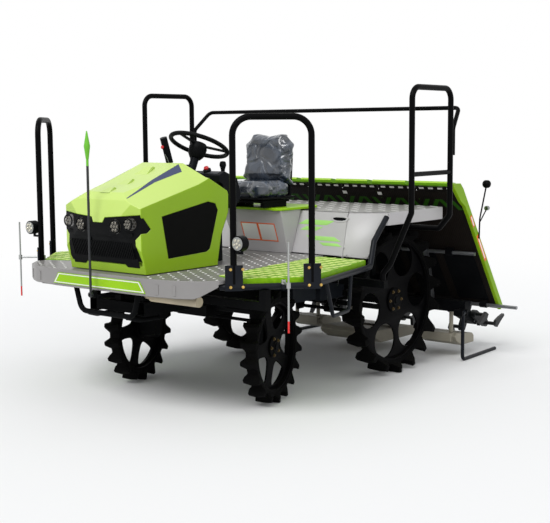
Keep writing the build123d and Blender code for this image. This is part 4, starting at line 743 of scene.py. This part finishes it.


# ---- Rear body, seat box and seat plate ----
# One large grey moulding covers the rear axle and is the deck that spare trays stand on.
# Slanting raised pads keep trays from sliding. Its front has a hand recess, two blank plates with a
# border, and four plain green flashes.
# The deck's upward faces are drawn darker than its front: painted shade.
body_paint = finish("body_moulding", "b7b5b6", rough=0.34, dust=0.2, grain=0.15, mottle=0.03, size=220.0,
                    shine=0.3, top="939290")
eased("rear_body", "chassis", body_paint, 0.005, 10.0)
dark_moulding = finish("dark_moulding", "0c0d0f", rough=0.5, dust=0.02, grain=0.4, shine=0.05)
eased("seat_box", "chassis", body_paint, 0.004, 10.0)
eased("seat_plate", "chassis", signal_green, 0.004)
pad_paint = finish("deck_pad", "cbcbc8", rough=0.42, dust=0.12, grain=0.2, mottle=0.05)
seen = over("rear_body", "seat_plate", "seat_base")
PAD_LEAN = math.radians(58.0)
DECK_TOP = 1058.0
spots = [(at(x, y, DECK_TOP - 0.2), frame_on((0, 0, 1), PAD_LEAN), FULL_SIZE)
         for x, y in tops(seen, range(-250, 470, 150), range(-750, 770, 100), DECK_TOP, 40.0)]
pad = block((-0.045, -0.007, 0.0), (0.045, 0.007, 0.0035))
set_out("deck_pads", pad, spots, pad_paint, "chassis")
front = over("rear_body", "seat_box")


def laid(tree, origin, direction, lift=0.0005):
    """The matrix that lays a flat piece where the line meets the tree, Z out of it and Y upwards."""
    hit, normal, _, _ = tree.ray_cast(origin, Vector(direction))
    if normal.dot(Vector(direction)) > 0.0:
        normal = -normal
    across = Vector((0, 0, 1)).cross(normal).normalized()
    matrix = Matrix((across, normal.cross(across), normal)).transposed().to_4x4()
    matrix.translation = hit + normal * lift
    return matrix


def on_front(y, z):
    """A place on the body's front face, and the matrix that lays a flat piece on it there."""
    return laid(front, at(1500.0, y, z), REARWARD, 0.0004)


def oblong(wide, tall, shift=0.0):
    """The corners of an oblong about its middle, leaning by shift at its top."""
    return [(-wide / 2 - shift, -tall / 2), (wide / 2 - shift, -tall / 2), (wide / 2 + shift, tall / 2),
            (-wide / 2 + shift, tall / 2)]


orange = finish("orange_edge", "e2672c", rough=0.4, dust=0.05, grain=0.1, mottle=0.04)
white_plate = finish("white_plate", "eeeeea", rough=0.38, metal=0.45, dust=0.02, grain=0.1, mottle=0.03)
pale_green = finish("green_flash", "a3d977", rough=0.4, dust=0.05, grain=0.1, mottle=0.05)
for number, y in enumerate((-45.0, 95.0)):
    blank = plate([oblong(0.130, 0.115)], 0.0010, 0.0002, 0)
    fixed(f"blank_plate_{number}", blank, on_front(y, 925.0), white_plate, "chassis")
    border = plate([oblong(0.138, 0.123), oblong(0.124, 0.109)], 0.0016, 0.0002, 0)
    fixed(f"plate_border_{number}", border, on_front(y, 925.0), orange, "chassis")
flashes = []
for y, z, wide, tall, lean in ((372.0, 990.0, 0.22, 0.030, 0.030), (340.0, 952.0, 0.13, 0.024, 0.024),
                               (440.0, 895.0, 0.22, 0.026, -0.026), (500.0, 862.0, 0.14, 0.018, -0.018)):
    flashes.append((plate([oblong(wide, tall, lean)], 0.0008, 0.0002, 0), on_front(y, z)))
put("green_flashes", joined("flashes", *flashes), pale_green, "chassis")
recess = on_front(545.0, 1016.0)
cup_rim = plate([[(-0.075, 0.020), (-0.05, -0.018), (0.05, -0.018), (0.075, 0.020)],
                 [(-0.058, 0.012), (-0.040, -0.010), (0.040, -0.010), (0.058, 0.012)]], 0.004, 0.001, 1)
# The hollow of the hand recess is drawn as a flat dark plate inside its rim: painted shade.
recess_shade = plate([[(-0.060, 0.014), (-0.042, -0.012), (0.042, -0.012), (0.060, 0.014)]], 0.0012, 0.0003, 1)
fixed("hand_recess_rim", cup_rim, recess, body_paint, "chassis")
fixed("hand_recess", recess_shade, recess, dark_moulding, "chassis")


# ---- Seat ----
# Foam pads under dark blue-grey vinyl with a deep sheen and many soft creases, on a black pressed pan.
# The pan slides on a small black base.
eased("seat_base", "chassis", dark_moulding, 0.002)
material, shade, place = new_material("seat_vinyl")
bent = shade.node("TexNoise", sockets={"Vector": place, "Scale": 4.0}, out=1)
bent = shade.node("VectorMath", {"operation": "MULTIPLY_ADD"}, {0: bent, 1: (0.35, 0.35, 0.35), 2: place})
wave = shade.node("TexNoise", sockets={"Vector": bent, "Scale": 9.0, "Detail": 2.0, "Distortion": 0.8})
crease = shade.node("TexVoronoi", {"feature": "DISTANCE_TO_EDGE"}, {"Vector": bent, "Scale": 6.5})
folds = crease.over(0.0, 0.16)
grain = shade.node("TexNoise", sockets={"Vector": place, "Scale": 420.0, "Detail": 2.0})
height = wave * 1.2 + folds * 0.7 + grain * 0.02
bump = shade.node("Bump", sockets={"Strength": 0.9, "Distance": 0.012, "Height": height})
tone = wave.over(0.35, 0.65).mix(colour("1b222c"), colour("313b49"))
cover(shade.node("BsdfPrincipled", sockets={
    "Base Color": tone, "Roughness": wave * 0.2 + 0.22, "Normal": bump, "Coat Weight": 1.0,
    "Coat Roughness": 0.06}))
vinyl = material
TUCK = 0.010              # how much smaller than its CAD solid a pad starts, all round
CLOTH_FRAMES = 20
# (pad, voxel, furthest that the cloth may swell, fill)
for node, voxel, bulge, fill in (("seat_cushion", 0.006, 0.022, 0.62), ("seat_back", 0.006, 0.024, 0.55)):
    source = added(node + "_pad", nodes[node].data.copy())
    bm = opened(source.data)
    bmesh.ops.remove_doubles(bm, verts=bm.verts, dist=MERGED)
    middle = sum((vert.co for vert in bm.verts), Vector()) / len(bm.verts)
    low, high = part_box(node)
    for vert in bm.verts:
        for axis in range(3):
            slim = 1.0 - 2.0 * TUCK / (high[axis] - low[axis])
            vert.co[axis] = middle[axis] + (vert.co[axis] - middle[axis]) * slim
    bm.to_mesh(source.data)
    bm.free()
    remesh = source.modifiers.new("remesh", "REMESH")
    remesh.mode = "VOXEL"
    remesh.voxel_size = voxel
    remesh.use_smooth_shade = True
    soften = source.modifiers.new("soften", "SMOOTH")
    soften.iterations = 14
    soften.factor = 0.6
    start = baked(source)
    source.modifiers.clear()
    source.data = start
    rest = [vert.co.copy() for vert in start.vertices]
    cloth = source.modifiers.new("cloth", "CLOTH")
    cloth.settings.use_pressure = True
    cloth.settings.uniform_pressure_force = 4.0
    cloth.settings.effector_weights.gravity = 0.0
    cloth.settings.tension_stiffness = 12.0
    cloth.settings.compression_stiffness = 6.0
    cloth.settings.bending_stiffness = 0.4
    cloth.point_cache.frame_start = 1
    cloth.point_cache.frame_end = CLOTH_FRAMES
    for number in range(1, CLOTH_FRAMES + 1):
        bpy.context.scene.frame_set(number)
    settled = baked(source)
    source.modifiers.clear()
    for vert, home in zip(settled.vertices, rest):
        move = vert.co - home
        vert.co = home + move * min(1.0, bulge / max(move.length, 1e-6))
    source.data = settled
    bpy.context.scene.frame_set(1)
    bm = opened(source.data)
    bpy.data.objects.remove(source)
    pad = put(node + "_padded", settle(bm, node, 80.0), vinyl, "chassis", node)
    smooth = pad.modifiers.new("smooth", "SUBSURF")
    smooth.levels = 1
    smooth.render_levels = 1


# ---- Hood, mask, screens and head lamps ----
# The hood is one green plastic moulding with soft edges, hinged at the back. A dark mask with fine
# upright ribs fills its nose. Mesh screens let air in at the sides, and four round lamps look out.
def draped(name, tree, first, second, direction, material, body, rows=24, cols=4, lift=0.0007):
    """A thin film between two lines of points, laid on the tree along a direction."""
    def along(points, share):
        place = share * (len(points) - 1)
        i = min(int(place), len(points) - 2)
        return Vector(points[i]).lerp(Vector(points[i + 1]), place - i)

    bm = bmesh.new()
    grid = []
    for i in range(rows + 1):
        one, two = along(first, i / rows), along(second, i / rows)
        row = []
        for j in range(cols + 1):
            start = one.lerp(two, j / cols)
            hit, normal, _, _ = tree.ray_cast(start, Vector(direction))
            if normal.dot(Vector(direction)) > 0.0:
                normal = -normal
            row.append(bm.verts.new(hit + normal * lift))
        grid.append(row)
    for i in range(rows):
        for j in range(cols):
            bm.faces.new((grid[i][j], grid[i][j + 1], grid[i + 1][j + 1], grid[i + 1][j]))
    mesh = settle(bm, name, 50.0)
    if mesh.polygons[0].normal.dot(Vector(direction)) > 0.0:
        mesh.flip_normals()
    film = put(name, mesh, material, body)
    skin = film.modifiers.new("skin", "SOLIDIFY")
    skin.thickness = 0.0012
    skin.offset = -1.0
    return film


# The hood's faces that look up and forward are drawn pale: a painted sheen of the sky on its gloss.
hood_green = finish("hood_green", "8aaf18", rough=0.3, dust=0.0, grain=0.05, mottle=0.03, coat=0.12,
                    size=260.0, shine=0.2, top="bdd573", way=(0.56, 0.0, 0.83))
mask_black = finish("mask_black", "0b0c0d", rough=0.45, dust=0.0, grain=0.4, size=240.0, shine=0.06)
hood = eased("hood", "hood", hood_green, 0.004, 9.0)
mask = eased("grille_mask", "hood", mask_black, 0.002)
material, shade, place = new_material("screen_mesh")
cells = shade.node("TexVoronoi", {"feature": "F1"}, {"Vector": place, "Scale": 210.0, "Randomness": 0.0})
holes = cells.over(0.30, 0.42)
bump = shade.node("Bump", sockets={"Strength": 0.9, "Distance": 0.001, "Height": holes})
tone = holes.mix(colour("020202"), colour("0d0d0d"))
cover(shade.node("BsdfPrincipled", sockets={
    "Base Color": tone, "Roughness": holes * -0.3 + 0.85, "Specular IOR Level": 0.05, "Normal": bump}))
dress(material, "hood_screens")
head_glass = finish("head_lamp_glass", "35332f", rough=0.16, metal=0.3, dust=0.0, grain=0.2, mottle=0.1,
                    coat=0.7)
dress(head_glass, "head_lamps")
hood_skin = met(baked(hood))
mask_skin = met(baked(mask))
nose = met(baked(hood), baked(mask))
BELT_Y, BELT_FOOT_Y = (-264.0, -150.0, 0.0, 150.0, 264.0), (-268.0, -150.0, 0.0, 150.0, 268.0)
SILL_Y = (-262.0, -131.0, 0.0, 131.0, 262.0)
# (piece, points across and height of its upper line, then of its lower one, rows, columns, how far out)
for name, upper, lower, rows, cols, lift in (
        ("mask_belt", (BELT_Y, 992.0), (BELT_FOOT_Y, 940.0), 40, 3, 0.0012),
        ("mask_sill", (SILL_Y, 886.0), (SILL_Y, 851.0), 24, 1, 0.0016),
        ("left_mask_foot", ((148.0, 262.0), 853.0), ((168.0, 262.0), 834.0), 6, 1, 0.0017),
        ("right_mask_foot", ((-148.0, -262.0), 853.0), ((-168.0, -262.0), 834.0), 6, 1, 0.0017)):
    edges = [[at(AHEAD, y, z) for y in ys] for ys, z in (upper, lower)]
    draped(name, nose, *edges, REARWARD, mask_black, "hood", rows, cols, lift)
MASK_RIBS, MASK_RIB_PITCH = 35, 14.0
ribs = []
for k in range(MASK_RIBS):
    spot = laid(mask_skin, at(AHEAD, MASK_RIB_PITCH * (k - MASK_RIBS // 2), 922.0), REARWARD, 0.0)
    ribs.append((spot.translation, spot.to_3x3(), FULL_SIZE))
rib = block((-0.0028, -0.044, -0.001), (0.0028, 0.050, 0.0050))
set_out("mask_ribs", rib, ribs, mask_black, "hood")
ledge = []
for side in (-1, 1):
    inner, outer = [laid(nose, at(AHEAD, side * y, z), REARWARD, -0.001).translation
                    for y, z in ((70.0, 978.0), (252.0, 1016.0))]
    run = outer - inner
    out = Vector((1.0, 0.0, -0.1)).normalized()
    turn = Matrix((run.normalized(), out.cross(run.normalized()), out)).transposed()
    ledge.append((inner.lerp(outer, 0.5), turn, (run.length, 0.016, 0.016)))
set_out("mask_ledge", block((-0.5, -0.5, -0.5), (0.5, 0.5, 0.5)), ledge, mask_black, "hood")
low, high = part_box("head_lamps")
bezels, cells = [], []
turn = Matrix.Rotation(math.pi / 2, 3, "Y")
for side in (-1, 1):
    for y, z, radius in ((136.0, 1054.0, 40.0), (238.0, 1070.0, 34.0)):
        spot = at(0.0, side * y, z)
        spot.x = high.x - 0.0005
        size = radius / 40.0
        bezels.append((spot, turn, (size, size, 1.0)))
        for k in range(7):
            away = 0.021 * size if k else 0.0
            angle = math.tau * k / 6
            cells.append((spot + Vector((0.0, away * math.cos(angle), away * math.sin(angle))), turn,
                          (size, size, 0.7)))
bezel = turned([(0.0335, -0.004), (0.0385, -0.004), (0.0395, 0.003), (0.0365, 0.005), (0.0335, 0.002)], 28)
set_out("lamp_bezels", bezel, bezels, mask_black, "hood")
reflector = finish("head_lamp_reflector", "6b6860", rough=0.3, metal=0.7, dust=0.0, grain=0.2, mottle=0.2)
set_out("lamp_cells", cell, cells, reflector, "hood")
navy = finish("navy_stripe", "27345c", rough=0.3, dust=0.03, grain=0.08, mottle=0.05, coat=0.4)
for side, name in ((1, "left"), (-1, "right")):
    inner = [at(x, side * y, ABOVE) for x, y in ((1915.0, 188.0), (1700.0, 158.0), (1478.0, 150.0))]
    outer = [at(x, side * y, ABOVE) for x, y in ((1912.0, 193.0), (1700.0, 180.0), (1500.0, 196.0))]
    draped(f"{name}_hood_stripe", hood_skin, inner, outer, DOWN, navy, "hood")
bm = bmesh.new()
points = [(0.045, -0.050, 0.0), (0.045, 0.050, 0.0), (-0.050, 0.030, 0.0), (-0.050, -0.030, 0.0),
          (-0.040, -0.024, 0.013), (-0.040, 0.024, 0.013)]
made = [bm.verts.new(point) for point in points]
for corners in ((0, 1, 5, 4), (1, 2, 5), (0, 4, 3), (2, 3, 4, 5), (0, 3, 2, 1)):
    bm.faces.new([made[i] for i in corners])
bmesh.ops.bevel(bm, geom=bm.edges[:], offset=0.003, segments=2, affect="EDGES")
scoop = settle(bm, "scoop", 40.0)
spots = []
for x, size in ((1868.0, 0.8), (1738.0, 0.95), (1592.0, 1.1)):
    hit, normal, _, _ = hood_skin.ray_cast(at(x, 0.0, ABOVE), DOWN)
    across = Vector((0.0, 1.0, 0.0))
    spots.append((hit - normal * 0.001, Matrix((across.cross(normal), across, normal)).transposed(),
                  (size, size, size)))
set_out("hood_scoops", scoop, spots, hood_green, "hood")


# ---- Console, levers and steering wheel ----
# The dark plastic console stands behind the hood, with two plain grey panels and a red knob on top.
# The steering wheel has a rubber ring with finger bumps over a black collar. Beside it stand a long
# lever with a red button and a short one on a plated sleeve.
console_black = finish("console_black", "0d0f13", rough=0.46, dust=0.01, grain=0.5, size=180.0, shine=0.06)
console_grey = finish("console_grey", "33373d", rough=0.5, dust=0.08, grain=0.6, size=200.0, shine=0.2)
red = finish("red_plastic", "c8141c", rough=0.25, dust=0.02, grain=0.05, mottle=0.05, coat=0.6)
console = eased("console", "chassis", console_black, 0.006)
eased("control_levers", "chassis", console_black, 0.0)
console_skin = met(baked(console))
for side, name in ((1, "left"), (-1, "right")):
    edges = [[at(x, side * y, ABOVE) for y in (62.0, 232.0)] for x in (1138.0, 1246.0)]
    draped(f"{name}_dash_panel", console_skin, *edges, DOWN, console_grey, "chassis", rows=8, cols=4)
knob = turned([(0.0, 0.0), (0.024, 0.0), (0.024, 0.014), (0.018, 0.018), (0.0, 0.018)], 20)
cap = turned([(0.0, 0.017), (0.014, 0.017), (0.015, 0.026), (0.011, 0.032), (0.0, 0.034)], 20)
hit, normal, _, _ = console_skin.ray_cast(at(1222.0, 130.0, ABOVE), DOWN)
panel_place = frame_on(normal).to_4x4()
panel_place.translation = hit - normal * 0.002
fixed("knob_housing", knob, panel_place, console_black, "chassis")
fixed("red_knob", cap, panel_place, red, "chassis")
wheel_black = finish("wheel_rubber", "090a0b", rough=0.5, dust=0.01, shine=0.06, grain=0.5, mottle=0.15,
                     size=160.0)
eased("steering_wheel", "steering_wheel", wheel_black, 0.002)
tilt = Matrix.Translation(at(1151.0, 0.0, 1473.0)) @ Matrix.Rotation(math.radians(-25.0), 4, "Y")
FINGER_BUMPS, RING, TUBE = 48, 0.172, 0.0122     # and the radii of the wheel's ring and of its tube
bumps = []
for k in range(FINGER_BUMPS):
    angle = math.tau * k / FINGER_BUMPS
    inward = Vector((-math.cos(angle), -math.sin(angle), -0.5)).normalized()
    spot = Vector((RING * math.cos(angle), RING * math.sin(angle), 0.0)) + inward * TUBE
    turn = tilt.to_3x3() @ frame_on(inward)
    bumps.append((tilt @ spot, turn, FULL_SIZE))
bump_shape = turned([(0.0, -0.001), (0.0055, -0.001), (0.0045, 0.0018), (0.0, 0.0028)], 8)
set_out("finger_bumps", bump_shape, bumps, wheel_black, "steering_wheel")
collar = turned([(0.0, -0.085), (0.034, -0.085), (0.050, -0.060), (0.054, -0.020), (0.046, 0.002),
                 (0.030, 0.010), (0.0, 0.012)], 32)
fixed("wheel_collar", collar, tilt, wheel_black, "steering_wheel")
button = turned([(0.0, 0.0), (0.010, 0.0), (0.010, 0.006), (0.007, 0.009), (0.0, 0.010)], 16)
thumb = Matrix.Translation(at(1334.0, -118.0, 1462.0)) @ Matrix.Rotation(math.radians(80.0), 4, "Y")
fixed("lever_button", button, thumb, red, "chassis")
grip = turned([(0.0, -0.040), (0.011, -0.040), (0.013, -0.024), (0.0186, -0.004), (0.0192, 0.010),
               (0.015, 0.021), (0.0, 0.024)], 20)
fixed("small_lever_grip", grip, Matrix.Translation(at(1110.0, 150.0, 1356.0)), wheel_black, "chassis")
sleeve = turned([(0.0, -0.030), (0.0072, -0.030), (0.0072, 0.030), (0.0, 0.030)], 16)
fixed("small_lever_sleeve", sleeve, Matrix.Translation(at(1111.0, 150.0, 1318.0)), zinc, "chassis")


def cable(points, radius, sides=3):
    """A round cable through a line of points, smoothly curved, its ends closed."""
    curve = bpy.data.curves.new("cable", "CURVE")
    curve.dimensions = "3D"
    curve.bevel_depth = radius
    curve.bevel_resolution = sides
    curve.resolution_u = 6
    curve.use_fill_caps = True
    line = curve.splines.new("BEZIER")
    line.bezier_points.add(len(points) - 1)
    for point, place in zip(line.bezier_points, points):
        point.co = place
        point.handle_left_type = point.handle_right_type = "AUTO"
    return settle(opened(used_up(added("cable", curve))), "cable")


bare_steel = finish("bare_steel", "9b9da0", rough=0.32, metal=0.9, dust=0.05, grain=0.2, mottle=0.12)
wire = cable([at(1322.0, -112.0, 1420.0), at(1306.0, -104.0, 1385.0), at(1288.0, -108.0, 1330.0),
              at(1262.0, -112.0, 1262.0)], 0.0022)
put("lever_cable", wire, bare_steel, "chassis")


# ---- Marker pole, side rods and what hangs under the floor ----
# A black pole with a green tip marks the middle of the nose; thin plated rods with red ends mark the
# sides. Under the floor hang a plastic battery box, a steel tool box and the silencer.
def two_tone(name, height, below, above, rough, metal=0.0, grain=0.0):
    """One colour up to this height in metres and another over it, where it may be bare metal."""
    material, shade, place = new_material(name)
    level = shade.node("SeparateXYZ", sockets={0: place}, out=2) > height
    speck = shade.node("TexNoise", sockets={"Vector": place, "Scale": 120.0})
    bump = shade.node("Bump", sockets={"Strength": grain, "Distance": 0.0005, "Height": speck})
    tone = level.mix(colour(below), colour(above))
    cover(shade.node("BsdfPrincipled", sockets={"Base Color": tone, "Roughness": speck * 0.2 + rough,
                                                "Metallic": level * metal, "Normal": bump}))
    return material


POLE_TIP_FOOT, ROD_END_TOP = 1.375, 0.600
eased("front_pole", "front_pole", two_tone("pole_finish", POLE_TIP_FOOT, "14171a", "5fae1e", 0.3, grain=0.15))
rod_finish = two_tone("side_rod_finish", ROD_END_TOP, "d01f1a", "a7a9a8", 0.28, metal=0.8)
eased("left_side_rod", "left_side_rod", rod_finish)
eased("right_side_rod", "right_side_rod", rod_finish)
box_blue = finish("box_blue_grey", "14181e", rough=0.5, dust=0.02, grain=0.4, shine=0.08)
silencer_tan = finish("silencer_tan", "b9ad94", rough=0.55, dust=0.2, grain=0.6, mottle=0.18, size=80.0)
eased("underfloor_boxes", "chassis", box_blue, 0.004)
eased("silencer", "chassis", silencer_tan)


# ---- Lift linkage ----
# Flat steel links and a hydraulic ram carry the planting unit and lift it off the mud.
# The links are black; the ram's rod is hard chrome.
eased("lower_link", "lower_link", chassis_paint, 0.0015)
eased("upper_link", "upper_link", chassis_paint, 0.0015)
eased("ram_barrel", "ram_barrel", chassis_paint, 0.001)
rod_chrome = finish("hard_chrome", "d4d6d8", rough=0.12, metal=1.0, dust=0.02, grain=0.05, mottle=0.06)
eased("ram_rod", "ram_rod", rod_chrome)


# ---- Planting unit ----
# A square beam carries three cast drive cases, each with a pair of planting arms on its rotor.
# Three grey moulded floats slide on the mud under it. Plated bars guide the table.
unit_black = finish("unit_black", "0b0c0e", rough=0.48, dust=0.02, grain=0.4, shine=0.05)
case_grey = finish("case_grey", "111315", rough=0.5, dust=0.03, grain=0.9, size=130.0, shine=0.06)
float_grey = finish("float_moulding", "8f8a7c", rough=0.52, dust=0.12, grain=0.3, mottle=0.12, size=60.0)
rotor_metal = finish("rotor_alloy", "1d1e20", rough=0.45, metal=0.4, dust=0.1, grain=0.8, mottle=0.12,
                     size=120.0)
eased("unit_frame", "planting_unit", unit_black, 0.002)
eased("table_rails", "planting_unit", zinc)
eased("planting_cases", "planting_unit", case_grey, 0.003)
eased("floats", "planting_unit", float_grey, 0.006)
eased("planting_rotors", "planting_rotors", rotor_metal, 0.0015)
cases = over("planting_cases")
ROTOR_X, ROTOR_Z, BOLT_RING = -1030.0, 215.0, 36.0
heads = []       # (forward, height, size) on each side of a case
for k in range(6):
    angle = math.tau * (k + 0.5) / 6
    heads.append((ROTOR_X + BOLT_RING * math.cos(angle), ROTOR_Z + BOLT_RING * math.sin(angle), 0.7))
heads += [(-700.0, 345.0, 0.8), (-780.0, 318.0, 0.8), (-880.0, 285.0, 0.8), (-700.0, 372.0, 0.8)]
spots = []
for y, side in ((y, side) for y in (-600.0, 0.0, 600.0) for side in (-1, 1)):
    for x, z, size in heads:
        hit, normal, _, _ = cases.ray_cast(at(x, y + side * 200.0, z), (0.0, -side, 0.0))
        if hit is not None and abs(normal.y) > 0.9:
            spots.append((hit, frame_on(normal), (size, size, size)))
set_out("case_bolts", bolt(), spots, zinc, "planting_unit", spin=1.0)
eased("left_stand", "left_stand", low_tube)
eased("right_stand", "right_stand", low_tube)


# ---- Seedling table ----
# The sloping table holds six mats of seedlings between green dividers. Its underside is dark with
# plain green chevrons. Ribbed belts at the foot of each lane feed the mats down to the planting arms.
FOOT, UPWARD = Vector((-857.0, 0.0, 357.0)), Vector((0.5559, 0.0, 0.8313))
AWAY = Vector((-0.8313, 0.0, 0.5559))
LANES, LANE = 6, 300.0           # how many, and how wide each is in mm


def on_table(u, y, n):
    """A place on the table: up its slope from the foot, across it, and out of it to the rear."""
    place = FOOT + UPWARD * u + AWAY * n
    return at(place.x, y, place.z)


material, shade, place = new_material("table_plate")
parts = shade.node("SeparateXYZ", sockets={0: place})
x, y, z = [parts.also(i) for i in range(3)]
facing = shade.node("SeparateXYZ", sockets={0: shade.node("TexCoord", out=1)}, out=0)
climb = x * UPWARD.x + z * UPWARD.z
lane = shade.maths("FRACT", y * (1000.0 / LANE) + 10.0)
fold = shade.maths("ABSOLUTE", lane - 0.5)
stripe = shade.maths("FRACT", fold * 4.0 + climb * 9.0 + 20.0)
band = (climb > 0.435) * (climb < 0.515) * (stripe > 0.55) * (facing > 0.3)
noise = shade.node("TexNoise", sockets={"Vector": place, "Scale": 26.0, "Detail": 4.0})
wave = shade.maths("SINE", y * 420.0)
under = noise.mix(colour("0d0a08"), colour("1a1410"))
under = band.mix(under, colour("24520b"))
top_side = noise.mix(colour("86b92f"), colour("93c63a"))
tone = (facing > 0.0).mix(top_side, under)
bump = shade.node("Bump", sockets={"Strength": 0.35, "Distance": 0.002, "Height": wave * 0.5 + noise * 0.2})
cover(shade.node("BsdfPrincipled", sockets={
    "Base Color": tone, "Roughness": noise * 0.2 + 0.42, "Normal": bump, "Specular IOR Level": 0.12}))
table_finish = material
# Faces of the green sides and ribs that look up are drawn paler: painted light.
table_green = finish("table_green", "7ba312", rough=0.32, dust=0.02, grain=0.12, mottle=0.05, shine=0.15,
                     top="a2c748")
eased("seedling_table", "seedling_table", table_finish, 0.0015)
eased("table_sides", "seedling_table", table_green, 0.004)
material, shade, place = new_material("table_cap_finish")
height = shade.node("SeparateXYZ", sockets={0: place}, out=2)
facing = shade.node("SeparateXYZ", sockets={0: shade.node("TexCoord", out=1)}, out=2)
noise = shade.node("TexNoise", sockets={"Vector": place, "Scale": 60.0, "Detail": 3.0})
# Painted light and shadow: cap faces that look up are drawn lighter, and the caps below 1.188 m are
lit = facing.over(0.2, 0.9).mix(colour("5f9510"), colour("a2c748"))
# drawn near-black as painted shadow under their lip.
tone = height.over(1.188, 1.194).mix(colour("0e0b09"), lit)
bump = shade.node("Bump", sockets={"Strength": 0.12, "Distance": 0.0006, "Height": noise})
cover(shade.node("BsdfPrincipled", sockets={
    "Base Color": tone, "Roughness": noise * 0.2 + 0.3, "Normal": bump, "Specular IOR Level": 0.12}))
caps = eased("table_caps", "seedling_table", material, 0.002)
for vert in caps.data.vertices:
    joint = LANE / 1000.0 * round(vert.co.y * 1000.0 / LANE)
    if abs(joint) < 0.7 and abs(vert.co.y - joint) < 0.003:
        vert.co.y += math.copysign(0.018 if vert.co.z > 1.194 else 0.004, vert.co.y - joint)
eased("table_shoes", "seedling_table", unit_black, 0.001)
eased("table_stalk", "seedling_table", tube_black)
slope = Matrix((UPWARD.cross(AWAY), UPWARD, AWAY)).transposed()
belt_rubber = finish("belt_rubber", "1a1b1c", rough=0.7, dust=0.12, grain=0.5, mottle=0.15, size=120.0)
caps_skin, plate_skin = over("table_caps"), over("seedling_table")
backwards = slope @ Matrix.Rotation(math.pi, 3, "Y")
ribs, belts, cleats, slot_light, guards, lips, labels = [], [], [], [], [], [], []
for number in range(LANES):
    y = (number - (LANES - 1) / 2) * LANE
    for k in range(-3, 4):
        ribs.append((on_table(560.0, y + k * 37.0, -27.9), slope, (0.006, 0.72, 0.004)))
    for offset in (-66.0, 66.0):
        belts.append((on_table(130.0, y + offset, -27.8), slope, (0.056, 0.200, 0.006)))
        for k in range(12):
            cleats.append((on_table(42.0 + 16.0 * k, y + offset, -22.0), slope, (0.050, 0.005, 0.004)))
    # Four white blocks in each cap's slots are painted light, where light shows through the open slots.
    for k in range(4):
        spot = laid(caps_skin, at(200.0, y - 105.0 + 70.0 * k, 1176.0), REARWARD, 0.0)
        slot_light.append((spot.translation, spot.to_3x3(), (0.036, 0.013, 0.0012)))
    guards.append((on_table(270.0, y, -38.0), backwards, (0.235, 0.400, 0.003)))
    lips.append((on_table(478.0, y, -38.0), backwards, (0.150, 0.008, 0.006)))
for y in (10.0, 300.0):
    spot = laid(plate_skin, at(200.0, y, 1129.0), REARWARD, 0.0)
    labels.append((spot.translation, spot.to_3x3(), (0.034, 0.024, 0.0012)))
unit_block = block((-0.5, -0.5, 0.0), (0.5, 0.5, 1.0))
for name, spots, material in (("lane_ribs", ribs, table_green), ("feed_belts", belts, belt_rubber),
                              ("belt_cleats", cleats, belt_rubber), ("cap_slots", slot_light, white_plate),
                              ("tray_guards", guards, unit_black), ("guard_lips", lips, pale_trim),
                              ("blank_labels", labels, white_plate)):
    set_out(name, unit_block, spots, material, "seedling_table")
cheek = Matrix((AWAY, UPWARD, (0.0, 1.0, 0.0))).transposed().to_4x4()
for number, (u, tall) in enumerate(((742.0, 0.085), (520.0, 0.210))):
    cheek.translation = on_table(u, 937.4, -24.0)
    strip = plate([oblong(0.026, tall)], 0.0010, 0.0002, 0)
    fixed(f"cheek_strip_{number}", strip, cheek, orange, "seedling_table")
    inner = plate([oblong(0.010, tall * 0.8, 0.002)], 0.0018, 0.0002, 0)
    fixed(f"cheek_strip_face_{number}", inner, cheek, white_plate, "seedling_table")
lamp = turned([(0.0, -0.0135), (0.013, -0.0135), (0.0152, -0.009), (0.0152, 0.0128), (0.011, 0.0135),
               (0.0, 0.011)], 24)
level_lamp = Matrix.Translation(at(-604.0, 942.3, 1036.0)) @ Matrix.Rotation(math.pi / 2, 4, "Y")
fixed("stalk_lamp", lamp, level_lamp, zinc, "seedling_table")
